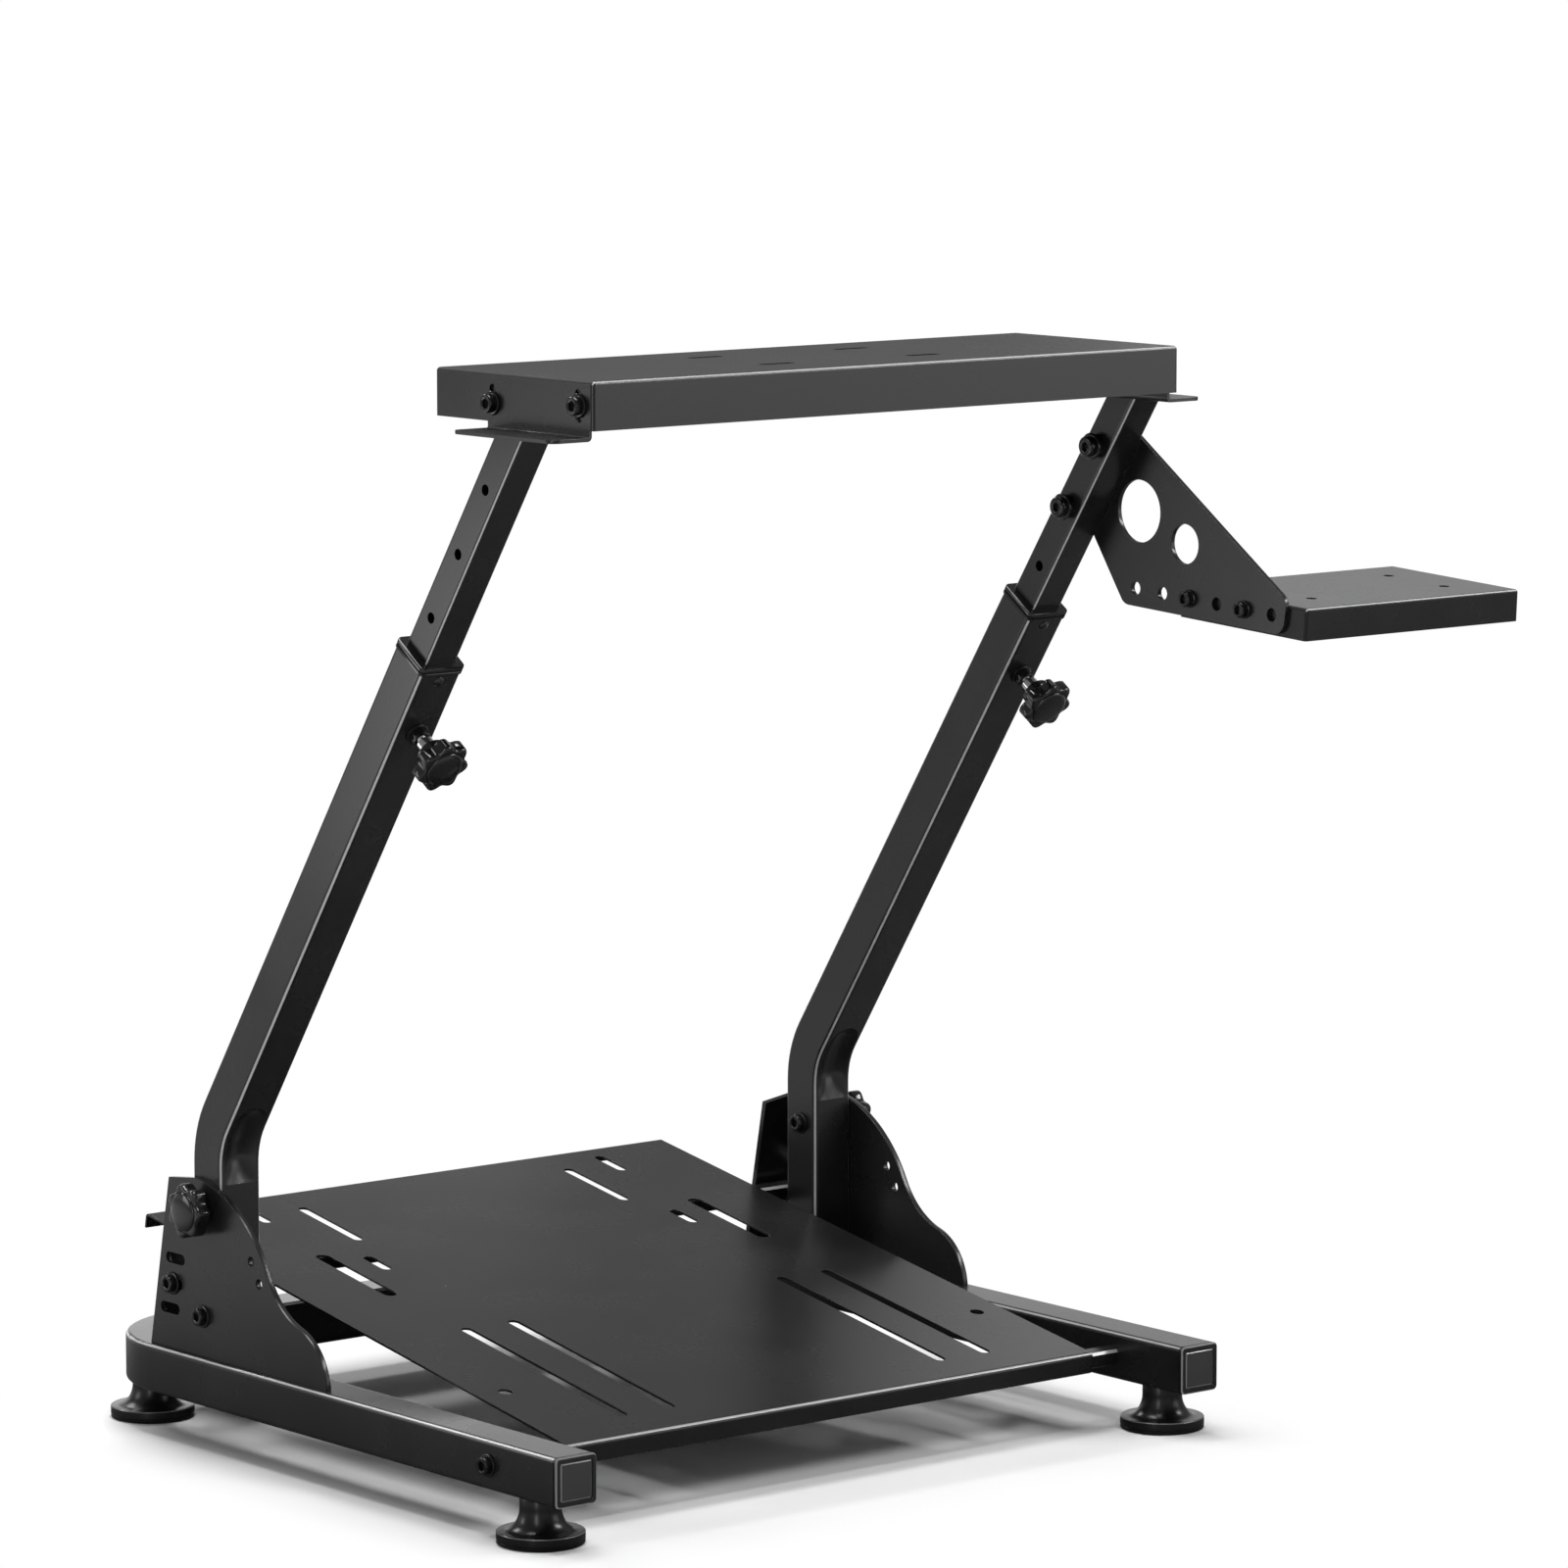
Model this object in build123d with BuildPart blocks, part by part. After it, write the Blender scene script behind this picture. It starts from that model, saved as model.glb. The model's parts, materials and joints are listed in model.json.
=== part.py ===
"""Racing wheel stand in millimetres, +Z up, standing on the floor at Z = 0.

A bent-tube base carries two bent legs in gusset brackets. Telescoping tubes slide in the legs and
hold a tilting wheel deck and a side tray for a gear shifter. A slotted pedal plate slopes up
between the legs. While the pieces are modelled, X = 0 is the middle of the base, Y = 0 is the
driver's end of the rails and +Y points away from the driver. The finished stand is then moved so
that its origin is the bottom centre of its bounding box.
"""

import os
from math import atan2, cos, degrees, hypot, radians, sin, tan

from build123d import *

# Tubes and fasteners
TUBE = 40.0
TUBE_WALL = 1.5
TUBE_CORNER = 4.0
INNER_TUBE = 30.0
INNER_WALL = 1.5
INNER_CORNER = 3.0
BOLT = 8.0
BOLT_HOLE = 8.6
HEAD = 13.0
HEAD_HEIGHT = 5.5
WASHER = 17.0
WASHER_HEIGHT = 1.6
NUT_HEIGHT = 6.5
RUNNING_FIT = 0.05
SLIDING_FIT = 0.3

# Base
BASE_WIDTH = 690.0
BASE_LENGTH = 658.0
BASE_BEND = 82.0
CAP_FLANGE = 4.0
CAP_PLUG = 18.0
CAP_RECESS = 1.0
CAP_BORDER = 5.0
FOOT_HEIGHT = 36.5
FOOT_DISC = 70.0
FOOT_DISC_HEIGHT = 10.0
FOOT_NECK = 33.0
FOOT_NECK_HEIGHT = 8.0
FOOT_FLARE = 5.0
FOOT_STUD = 28.0
FRONT_FOOT_Y = 46.0
REAR_FOOT_TURN = 46.0

# Bars under the pedal plate
BAR = 14.0
BAR_CORNER = 2.0
FRONT_BAR_Y = 87.0
FRONT_BAR_Z = 56.5
REAR_BAR_BACK = 43.0
REAR_BAR_Z = 131.5

# Pedal plate
PLATE_WIDTH = 550.0
PLATE_BACK = 581.0
PLATE_SHEET = 2.0
PLATE_BEND = 4.0
PLATE_FRONT_LIP = 1.5
PLATE_REAR_LIP = 13.0
PLATE_HOLE = 12.0
PLATE_HOLE_X = 248.0
PLATE_HOLE_ALONG = 109.0
PEDAL_SLOT = 10.0
INNER_SLOT_X = 142.0
OUTER_SLOT_X = 190.0
FRONT_SLOT_START = 27.0
FRONT_SLOT_LENGTH = 217.0
MIDDLE_SLOT = 13.0
MIDDLE_SLOT_X = 198.0
MIDDLE_SLOT_START = 330.0
MIDDLE_SLOT_LENGTH = 107.0
SHORT_SLOT_X = 163.0
SHORT_SLOT_INSET = 55.0
SHORT_SLOT_LENGTH = 34.0
SLOT_BRIDGE = 18.0
REAR_SLOT_LENGTH = 88.0
CORNER_SLOT_LENGTH = 40.0

# Leg brackets
BRACKET_INSET = 6.0
BRACKET_SHEET = 5.0
BRACKET_BACK = 75.5
BRACKET_FRONT = 172.5
BRACKET_LEAN = 11.2
BRACKET_CORNER_RISE = 109.5
BRACKET_CROWN = (10.0, 114.0)
BRACKET_NECK = (-91.0, 47.0)
BRACKET_WAIST = (-136.0, 10.5)
CROWN_SAGITTA = 15.5
FLANGE_WIDTH = 48.0
FLANGE_DROP = 8.0
LOCK_RADIUS = 89.0
SPARE_LOCK_ANGLES = (51.0, 64.0)
LEVEL_SLOT = 9.0
LEVEL_SLOT_LENGTH = 27.0
LEVEL_PITCH = 21.3

# Legs
LEG_Y = 483.0
LEG_PIVOT_Z = 110.5
LEG_TAIL = 25.0
LEG_BEND_Z = 258.8
LEG_LEAN = 34.2
LEG_BEND = 75.0
LEG_UPPER = 507.5
GROOVE_WIDTH = 31.0
GROOVE_DEPTH = 7.0
GROOVE_FOOT_Z = 221.0
GROOVE_HEAD = 31.0

# Collars and height clamps
COLLAR_FLANGE = 4.0
COLLAR_OVERHANG = 1.2
COLLAR_SLEEVE = 46.0
COLLAR_SNAP = 6.0
COLLAR_SNAP_DROP = 10.0
COLLAR_SNAP_PROUD = 1.2
CLAMP_DROP = 62.0
CLAMP_BOSS = 17.0
CLAMP_BOSS_HEIGHT = 9.0
CLAMP_STANDOFF = 13.0

# Star knobs
KNOB = 46.0
KNOB_LOBES = 7
KNOB_SCALLOP = 7.5
KNOB_SCALLOP_OUT = 4.2
KNOB_HEIGHT = 13.0
KNOB_HUB = 24.0
CLAMP_HUB_HEIGHT = 10.0
LOCK_HUB_HEIGHT = 4.0
KNOB_DOME = 30.0
KNOB_DOME_HEIGHT = 3.0

# Inner tubes
INNER_FOOT = 344.5
INNER_TOP_Z = 857.0
SIDE_HOLE = 9.0
SIDE_HOLE_DROP = 49.8
SIDE_HOLE_PITCH = 63.3
SIDE_HOLE_COUNT = 5

# Deck brackets and deck
DECK_BRACKET_SHEET = 3.0
DECK_BRACKET_FRONT = 62.0
DECK_BRACKET_BACK = 66.0
DECK_BRACKET_OVERHANG = 4.2
DECK_BRACKET_HEIGHT = 38.0
DECK_BRACKET_BEND = 4.0
DECK_BRACKET_CORNER = 8.0
DECK_INSET = 14.0
DECK_DEPTH = 200.0
DECK_HEIGHT = 38.0
DECK_SHEET = 2.0
DECK_BEND = 3.0
DECK_AHEAD = 69.5
DECK_LIFT = 8.5
DECK_PIVOT_BACK = 126.0
DECK_PIVOT_RISE = 14.0
DECK_SLIP_BACK = 17.0
DECK_SLIP_RISE = 18.5
DECK_SLIP_ANGLE = 4.5
DECK_PIVOT_SLOT = 11.0
WHEEL_HOLES = (150.0, 90.0)
WHEEL_SLOT = 9.0
WHEEL_SLOT_LENGTH = 34.0

# Shifter bracket and tray
SHIFTER_SHEET = 4.0
SHIFTER_SPACER = 6.0
SHIFTER_RISE = 16.5
SHIFTER_FALL = 20.0
SHIFTER_REACH = 227.0
SHIFTER_DROOP = 3.0
ROW_AHEAD = 15.4
ROW_BELOW = 118.3
ROW_PITCH = 32.8
ROW_COUNT = 6
ROW_HOLE = 11.0
ROW_EDGE = 15.0
ROW_NOSE = 14.0
SHIFTER_CORNER = 12.0
LIGHT_HOLES = ((52.0, 18.9, 54.3), (33.0, 74.9, 77.3))
TRAY_WIDTH = 240.0
TRAY_DEPTH = 150.0
TRAY_HEIGHT = 26.5
TRAY_SHEET = 2.0
TRAY_BEND = 2.5
TRAY_RISE = 9.5
TRAY_BACK = 15.0
TRAY_HOLES = (150.0, 66.0)
TRAY_HOLE = 9.0

# Worked out from the sizes above
RAIL_X = (BASE_WIDTH - TUBE) / 2
RAIL_Z = FOOT_HEIGHT + TUBE / 2
RAIL_TOP = FOOT_HEIGHT + TUBE
REAR_Y = BASE_LENGTH - TUBE / 2
BRACKET_X = BASE_WIDTH / 2 - BRACKET_INSET
LEG_X = BRACKET_X - BRACKET_SHEET - TUBE / 2
DECK_WIDTH = 2 * (LEG_X - DECK_INSET)
LEAN_SIN = sin(radians(LEG_LEAN))
LEAN_COS = cos(radians(LEG_LEAN))
INNER_TOP_Y = LEG_Y - (INNER_TOP_Z - LEG_BEND_Z) * LEAN_SIN / LEAN_COS
SIDE_HOLE_TOP = (INNER_TOP_Z - LEG_BEND_Z) / LEAN_COS - SIDE_HOLE_DROP
SHIFTER_TOP = SIDE_HOLE_TOP + SHIFTER_RISE
SHIFTER_TUBE_END = SIDE_HOLE_TOP - SIDE_HOLE_PITCH - SHIFTER_FALL
DECK_FRONT_Y = INNER_TOP_Y - DECK_AHEAD
REAR_BAR_Y = LEG_Y + REAR_BAR_BACK
PLATE_SLOPE = atan2(REAR_BAR_Z - FRONT_BAR_Z, REAR_BAR_Y - FRONT_BAR_Y)
UPWARD = (Align.CENTER, Align.CENTER, Align.MIN)
DOWNWARD = (Align.CENTER, Align.CENTER, Align.MAX)

pieces = {}


def keep(name, part):
    """Label a finished piece and put it on the list to be written."""
    part.label = name
    pieces[name] = part


def leg_point(along, back=0.0):
    """Y and Z at a distance up the leaning leg from its bend, and behind its axis."""
    return (
        LEG_Y - along * LEAN_SIN + back * LEAN_COS,
        LEG_BEND_Z + along * LEAN_COS + back * LEAN_SIN,
    )


def leg_plane(x, along):
    """Cross-section plane of the leaning leg, with its local Y pointing to the back."""
    return Plane(origin=(x, *leg_point(along)), x_dir=(1, 0, 0), z_dir=(0, -LEAN_SIN, LEAN_COS))


def bulge(start, end, sagitta):
    """Middle point of an arc that stands off its chord to the right of start to end."""
    run, rise = end[0] - start[0], end[1] - start[1]
    length = hypot(run, rise)
    return (
        (start[0] + end[0]) / 2 + rise / length * sagitta,
        (start[1] + end[1]) / 2 - run / length * sagitta,
    )


def cap_screw(seat, grip, nut=False, spacer=0.0):
    """Cap screw: washer or spacer and head on the seat plane, shank going down from it."""
    collar_height = WASHER_HEIGHT + spacer
    with BuildPart(seat) as screw:
        Cylinder(WASHER / 2, collar_height, align=UPWARD)
        with Locations((0, 0, collar_height)):
            Cylinder(HEAD / 2, HEAD_HEIGHT, align=UPWARD)
        shank = grip + NUT_HEIGHT if nut else grip
        Cylinder(BOLT / 2, shank, align=DOWNWARD)
        if nut:
            with BuildSketch(seat.offset(-grip)):
                RegularPolygon(HEAD / 2, 6, major_radius=False)
            extrude(amount=-NUT_HEIGHT)
    return screw.part


def star_knob(seat, hub, stud=0.0, bore=0.0):
    """Lobed hand knob on a hub on the seat plane, with a stud going down or a bore going up."""
    with BuildPart(seat) as knob:
        Cylinder(KNOB_HUB / 2, hub, align=UPWARD)
        with BuildSketch(seat.offset(hub)):
            Circle(KNOB / 2)
            with PolarLocations(KNOB / 2 + KNOB_SCALLOP_OUT, KNOB_LOBES):
                Circle(KNOB_SCALLOP, mode=Mode.SUBTRACT)
        extrude(amount=KNOB_HEIGHT)
        with Locations((0, 0, hub + KNOB_HEIGHT)):
            Cone(KNOB_DOME / 2, KNOB_DOME / 2 - KNOB_DOME_HEIGHT, KNOB_DOME_HEIGHT, align=UPWARD)
        if stud:
            Cylinder(BOLT / 2, stud, align=DOWNWARD)
        if bore:
            Cylinder(BOLT / 2 + RUNNING_FIT, bore, align=UPWARD, mode=Mode.SUBTRACT)
    return knob.part


# Base: one square tube bent into a U, standing on four feet
rear_foot_x = RAIL_X - BASE_BEND * (1 - cos(radians(REAR_FOOT_TURN)))
rear_foot_y = REAR_Y - BASE_BEND * (1 - sin(radians(REAR_FOOT_TURN)))
foot_spots = {
    "front_left_foot": (-RAIL_X, FRONT_FOOT_Y),
    "front_right_foot": (RAIL_X, FRONT_FOOT_Y),
    "rear_left_foot": (-rear_foot_x, rear_foot_y),
    "rear_right_foot": (rear_foot_x, rear_foot_y),
}
with BuildPart() as base_frame:
    with BuildLine() as base_path:
        FilletPolyline(
            (-RAIL_X, CAP_FLANGE, RAIL_Z),
            (-RAIL_X, REAR_Y, RAIL_Z),
            (RAIL_X, REAR_Y, RAIL_Z),
            (RAIL_X, CAP_FLANGE, RAIL_Z),
            radius=BASE_BEND,
        )
    with BuildSketch(Plane(origin=base_path.line @ 0, x_dir=(1, 0, 0), z_dir=base_path.line % 0)):
        RectangleRounded(TUBE, TUBE, TUBE_CORNER)
        inside = TUBE - 2 * TUBE_WALL
        Rectangle(inside, inside, mode=Mode.SUBTRACT)
    sweep()
    with BuildSketch(Plane.YZ):
        with Locations((FRONT_BAR_Y, FRONT_BAR_Z)):
            Circle(BOLT_HOLE / 2)
    extrude(amount=BASE_WIDTH, both=True, mode=Mode.SUBTRACT)
    with BuildSketch(Plane.XY.offset(FOOT_HEIGHT)):
        with Locations(*foot_spots.values()):
            Circle(BOLT_HOLE / 2)
    extrude(amount=TUBE / 2, mode=Mode.SUBTRACT)
keep("base_frame", base_frame.part)


def foot(x, y):
    """Levelling foot: a flat disc flaring up to a neck, with a threaded stud."""
    neck_top = FOOT_HEIGHT - SLIDING_FIT
    flare_top = neck_top - FOOT_NECK_HEIGHT
    edge = FOOT_DISC / 2
    neck = FOOT_NECK / 2
    rim = FOOT_DISC_HEIGHT / 4
    shoulder = (edge - 2 * rim, FOOT_DISC_HEIGHT)
    with BuildPart() as part:
        with BuildSketch(Plane(origin=(x, y, 0), x_dir=(1, 0, 0), z_dir=(0, -1, 0))):
            with BuildLine():
                Polyline((0, neck_top), (0, 0), (edge, 0), (edge, FOOT_DISC_HEIGHT - rim))
                Polyline((edge, FOOT_DISC_HEIGHT - rim), (edge - rim, FOOT_DISC_HEIGHT), shoulder)
                Polyline(shoulder, bulge(shoulder, (neck, flare_top), -FOOT_FLARE), (neck, flare_top))
                Polyline((neck, flare_top), (neck, neck_top), (0, neck_top))
            make_face()
        revolve(axis=Axis((x, y, 0), (0, 0, 1)))
        with Locations((x, y, neck_top)):
            Cylinder(BOLT / 2, FOOT_STUD, align=UPWARD)
    return part.part


for name, spot in foot_spots.items():
    keep(name, foot(*spot))


def rail_cap(side):
    """Moulded end cap with a plug inside the tube and a shallow square recess."""
    bore = TUBE - 2 * TUBE_WALL - SLIDING_FIT
    face = Plane(origin=(side * RAIL_X, CAP_FLANGE, RAIL_Z), x_dir=(1, 0, 0), z_dir=(0, -1, 0))
    with BuildPart() as cap:
        with BuildSketch(face):
            RectangleRounded(TUBE, TUBE, TUBE_CORNER)
        extrude(amount=CAP_FLANGE)
        chamfer(cap.faces().sort_by(Axis.Y)[0].edges(), CAP_RECESS)
        with BuildSketch(face.offset(CAP_FLANGE)):
            Rectangle(TUBE - 2 * CAP_BORDER, TUBE - 2 * CAP_BORDER)
        extrude(amount=-CAP_RECESS, mode=Mode.SUBTRACT)
        with BuildSketch(face):
            RectangleRounded(bore, bore, TUBE_CORNER - TUBE_WALL)
        extrude(amount=-CAP_PLUG)
    return cap.part


for name, side in (("left_rail_cap", -1), ("right_rail_cap", 1)):
    keep(name, rail_cap(side))

# Bars that carry the pedal plate, turned to its slope
plate_plane = Plane(
    origin=(0, FRONT_BAR_Y, FRONT_BAR_Z),
    x_dir=(1, 0, 0),
    z_dir=(0, -sin(PLATE_SLOPE), cos(PLATE_SLOPE)),
)
bar_spacing = hypot(REAR_BAR_Y - FRONT_BAR_Y, REAR_BAR_Z - FRONT_BAR_Z)
front_bar_length = BASE_WIDTH - 2 * TUBE
rear_bar_length = 2 * (BRACKET_X - BRACKET_SHEET)


def bar(length, along):
    """Square bar across the stand with a tapped hole in each end."""
    with BuildPart(plate_plane) as part:
        with Locations((0, along, 0)):
            Box(length, BAR, BAR)
        chamfer(part.edges().filter_by(Axis.X), BAR_CORNER)
        with Locations((0, along, 0)):
            with GridLocations(length, 1, 2, 1):
                Cylinder(BOLT / 2, 2 * BAR, rotation=(0, 90, 0), mode=Mode.SUBTRACT)
    return part.part


keep("front_crossbar", bar(front_bar_length, 0))
keep("rear_crossbar", bar(rear_bar_length, bar_spacing))

# Pedal plate: one folded sheet, hooked over the front bar and slotted for pedals
plate_under = BAR / 2
plate_top = plate_under + PLATE_SHEET
lip_front = -(BAR / 2 + SLIDING_FIT + PLATE_SHEET)
rear_slot_start = MIDDLE_SLOT_START + MIDDLE_SLOT_LENGTH + SLOT_BRIDGE
corner_slot_start = rear_slot_start + REAR_SLOT_LENGTH + SLOT_BRIDGE - CORNER_SLOT_LENGTH
pedal_slots = (
    (INNER_SLOT_X, PEDAL_SLOT, FRONT_SLOT_START, FRONT_SLOT_LENGTH),
    (OUTER_SLOT_X, PEDAL_SLOT, FRONT_SLOT_START, FRONT_SLOT_LENGTH),
    (MIDDLE_SLOT_X, MIDDLE_SLOT, MIDDLE_SLOT_START, MIDDLE_SLOT_LENGTH),
    (SHORT_SLOT_X, PEDAL_SLOT, MIDDLE_SLOT_START + SHORT_SLOT_INSET, SHORT_SLOT_LENGTH),
    (INNER_SLOT_X, PEDAL_SLOT, rear_slot_start, REAR_SLOT_LENGTH),
    (OUTER_SLOT_X, PEDAL_SLOT, corner_slot_start, CORNER_SLOT_LENGTH),
)
with BuildPart() as pedal_plate:
    with BuildSketch(Plane(origin=plate_plane.origin, x_dir=plate_plane.y_dir, z_dir=(1, 0, 0))):
        with BuildLine():
            FilletPolyline(
                (lip_front, -BAR / 2 - PLATE_FRONT_LIP),
                (lip_front, plate_top),
                (PLATE_BACK, plate_top),
                (PLATE_BACK, plate_top - PLATE_REAR_LIP),
                radius=PLATE_BEND,
            )
            offset(amount=PLATE_SHEET, side=Side.RIGHT)
        make_face()
    extrude(amount=PLATE_WIDTH / 2, both=True)
    with BuildSketch(plate_plane.offset(plate_under)):
        for side in (-1, 1):
            for x, width, start, length in pedal_slots:
                with Locations((side * x, start + length / 2)):
                    SlotOverall(length, width, rotation=90)
            with Locations((side * PLATE_HOLE_X, PLATE_HOLE_ALONG)):
                Circle(PLATE_HOLE / 2)
    extrude(amount=PLATE_SHEET, mode=Mode.SUBTRACT)
keep("pedal_plate", pedal_plate.part)


def pivot_point(back, rise):
    """Y and Z of a point given from the leg's pivot bolt."""
    return (LEG_Y + back, LEG_PIVOT_Z + rise)


lean_step = tan(radians(BRACKET_LEAN))
lock_spots = [
    pivot_point(-LOCK_RADIUS * sin(radians(angle)), LOCK_RADIUS * cos(radians(angle)))
    for angle in (0, *SPARE_LOCK_ANGLES)
]


def leg_bracket(side):
    """Gusset plate with an S-curved front edge and a flange folded in behind the leg."""
    inner = side * (BRACKET_X - BRACKET_SHEET)
    plane = Plane(origin=(inner, 0, 0), x_dir=(0, 1, 0), z_dir=(1, 0, 0))
    rear_foot = (LEG_Y + BRACKET_BACK, RAIL_TOP)
    rear_rise = LEG_PIVOT_Z + BRACKET_CORNER_RISE - RAIL_TOP
    rear_top = (rear_foot[0] - rear_rise * lean_step, RAIL_TOP + rear_rise)
    crown, neck, waist = (pivot_point(*p) for p in (BRACKET_CROWN, BRACKET_NECK, BRACKET_WAIST))
    tip = (LEG_Y - BRACKET_FRONT, RAIL_TOP)
    with BuildPart() as bracket:
        with BuildSketch(plane):
            with BuildLine():
                Polyline(tip, rear_foot, rear_top, crown)
                shoulder = ThreePointArc(crown, bulge(crown, neck, CROWN_SAGITTA), neck)
                hollow = TangentArc(neck, waist, tangent=shoulder % 1)
                TangentArc(waist, tip, tangent=hollow % 1)
            make_face()
            with Locations(pivot_point(0, 0), *lock_spots):
                Circle(BOLT_HOLE / 2, mode=Mode.SUBTRACT)
            for level in (-LEVEL_PITCH, 0, LEVEL_PITCH):
                with Locations((REAR_BAR_Y - level * lean_step, REAR_BAR_Z + level)):
                    SlotOverall(LEVEL_SLOT_LENGTH, LEVEL_SLOT, mode=Mode.SUBTRACT)
        extrude(amount=side * BRACKET_SHEET)
        flange_plane = Plane(
            origin=(side * BRACKET_X, *rear_foot),
            x_dir=(-side, 0, 0),
            z_dir=(0, side * cos(radians(BRACKET_LEAN)), side * sin(radians(BRACKET_LEAN))),
        )
        flange_rise = rear_rise / cos(radians(BRACKET_LEAN))
        with BuildSketch(flange_plane):
            Polygon(
                (0, 0),
                (FLANGE_WIDTH, 0),
                (FLANGE_WIDTH, flange_rise - FLANGE_DROP),
                (0, flange_rise),
                align=None,
            )
        extrude(amount=-side * BRACKET_SHEET)
        split(bisect_by=Plane.XY.offset(RAIL_TOP), keep=Keep.TOP)
    return bracket.part


for name, side in (("left_bracket", -1), ("right_bracket", 1)):
    keep(name, leg_bracket(side))

# Legs: square tubes bent toward the driver, with a groove pressed into the inside of the bend
bend_run = LEG_BEND * tan(radians(LEG_LEAN / 2))
bend_centre = (LEG_Y - LEG_BEND, LEG_BEND_Z - bend_run)
groove_radius = (GROOVE_WIDTH / 2) ** 2 / (2 * GROOVE_DEPTH) + GROOVE_DEPTH / 2
groove_ahead = TUBE / 2 + groove_radius - GROOVE_DEPTH


def bent_tube(size, corner=0.0):
    """Solid square section along the leg's bent axis at X = 0."""
    with BuildPart() as tube:
        with BuildLine() as path:
            FilletPolyline(
                (0, LEG_Y, LEG_PIVOT_Z - LEG_TAIL),
                (0, LEG_Y, LEG_BEND_Z),
                (0, *leg_point(LEG_UPPER)),
                radius=LEG_BEND,
            )
        with BuildSketch(Plane(origin=path.line @ 0, x_dir=(1, 0, 0), z_dir=path.line % 0)):
            if corner:
                RectangleRounded(size, size, corner)
            else:
                Rectangle(size, size)
        sweep()
    return tube.part


def bend_groove(radius, foot_z):
    """Round bar that follows the bend ahead of the leg at X = 0, with a flat foot and a ball end."""
    head = leg_plane(0, GROOVE_HEAD)
    head.origin = (0, *leg_point(GROOVE_HEAD, -groove_ahead))
    with BuildPart() as groove:
        with BuildSketch(Plane.XY.offset(bend_centre[1])) as section:
            with Locations((0, LEG_Y - groove_ahead)):
                Circle(radius)
        extrude(amount=foot_z - bend_centre[1])
        revolve(section.sketch, axis=Axis((0, *bend_centre), (1, 0, 0)), revolution_arc=LEG_LEAN)
        with BuildSketch(head):
            Circle(radius)
        extrude(amount=bend_run - GROOVE_HEAD)
        with Locations(head):
            Sphere(radius)
    return groove.part


leg_outside = bent_tube(TUBE, TUBE_CORNER)
leg_bore = bent_tube(TUBE - 2 * TUBE_WALL)
groove = bend_groove(groove_radius, GROOVE_FOOT_Z)
groove_skin = bend_groove(groove_radius + TUBE_WALL, GROOVE_FOOT_Z - TUBE_WALL)
clamp_along = LEG_UPPER - CLAMP_DROP
snap_along = LEG_UPPER - COLLAR_SNAP_DROP


def leg_front(x, along, out):
    """Plane facing out of the leg's driver-side face, a distance in front of it."""
    origin = (x, *leg_point(along, -TUBE / 2 - out))
    return Plane(origin=origin, x_dir=(1, 0, 0), z_dir=(0, -LEAN_COS, -LEAN_SIN))


with BuildPart() as leg_core:
    add(leg_bore)
    add(groove_skin, mode=Mode.SUBTRACT)

with BuildPart() as leg_blank:
    add(leg_outside)
    add(groove, mode=Mode.SUBTRACT)
    add(leg_core.part, mode=Mode.SUBTRACT)
    with BuildSketch(Plane.YZ):
        with Locations(pivot_point(0, 0), lock_spots[0]):
            Circle(BOLT_HOLE / 2)
    extrude(amount=TUBE, both=True, mode=Mode.SUBTRACT)
    for along, hole in ((clamp_along, BOLT_HOLE), (snap_along, COLLAR_SNAP + SLIDING_FIT)):
        with BuildSketch(leg_front(0, along, 0)):
            Circle(hole / 2)
        extrude(amount=-TUBE / 2, mode=Mode.SUBTRACT)


def collar(x):
    """Moulded sleeve between leg and inner tube, with a top flange and a snap button."""
    sleeve = TUBE - 2 * TUBE_WALL - SLIDING_FIT
    bore = INNER_TUBE + 2 * SLIDING_FIT
    top = leg_plane(x, LEG_UPPER)
    flange = TUBE + 2 * COLLAR_OVERHANG
    with BuildPart() as part:
        with BuildSketch(top):
            RectangleRounded(flange, flange, TUBE_CORNER + COLLAR_OVERHANG)
        extrude(amount=COLLAR_FLANGE)
        chamfer(part.faces().sort_by(Axis(top.origin, top.z_dir))[-1].edges(), COLLAR_OVERHANG)
        with BuildSketch(top):
            RectangleRounded(sleeve, sleeve, TUBE_CORNER - TUBE_WALL)
        extrude(amount=-COLLAR_SLEEVE)
        with BuildSketch(leg_front(x, snap_along, COLLAR_SNAP_PROUD)):
            Circle(COLLAR_SNAP / 2)
        extrude(amount=-(COLLAR_SNAP_PROUD + 2 * TUBE_WALL))
        with BuildSketch(top.offset(COLLAR_FLANGE)):
            RectangleRounded(bore, bore, INNER_CORNER + SLIDING_FIT)
        extrude(amount=-(COLLAR_FLANGE + COLLAR_SLEEVE), mode=Mode.SUBTRACT)
    return part.part


def clamp_boss(x):
    """Weld nut on the driver-side face of the leg for the height clamp."""
    with BuildPart() as boss:
        with BuildSketch(leg_front(x, clamp_along, 0)):
            Circle(CLAMP_BOSS / 2)
            Circle(BOLT / 2 + SLIDING_FIT, mode=Mode.SUBTRACT)
        extrude(amount=CLAMP_BOSS_HEIGHT)
        chamfer(boss.edges().filter_by(GeomType.CIRCLE).sort_by(Axis.Y)[:1], SLIDING_FIT)
    return boss.part


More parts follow.
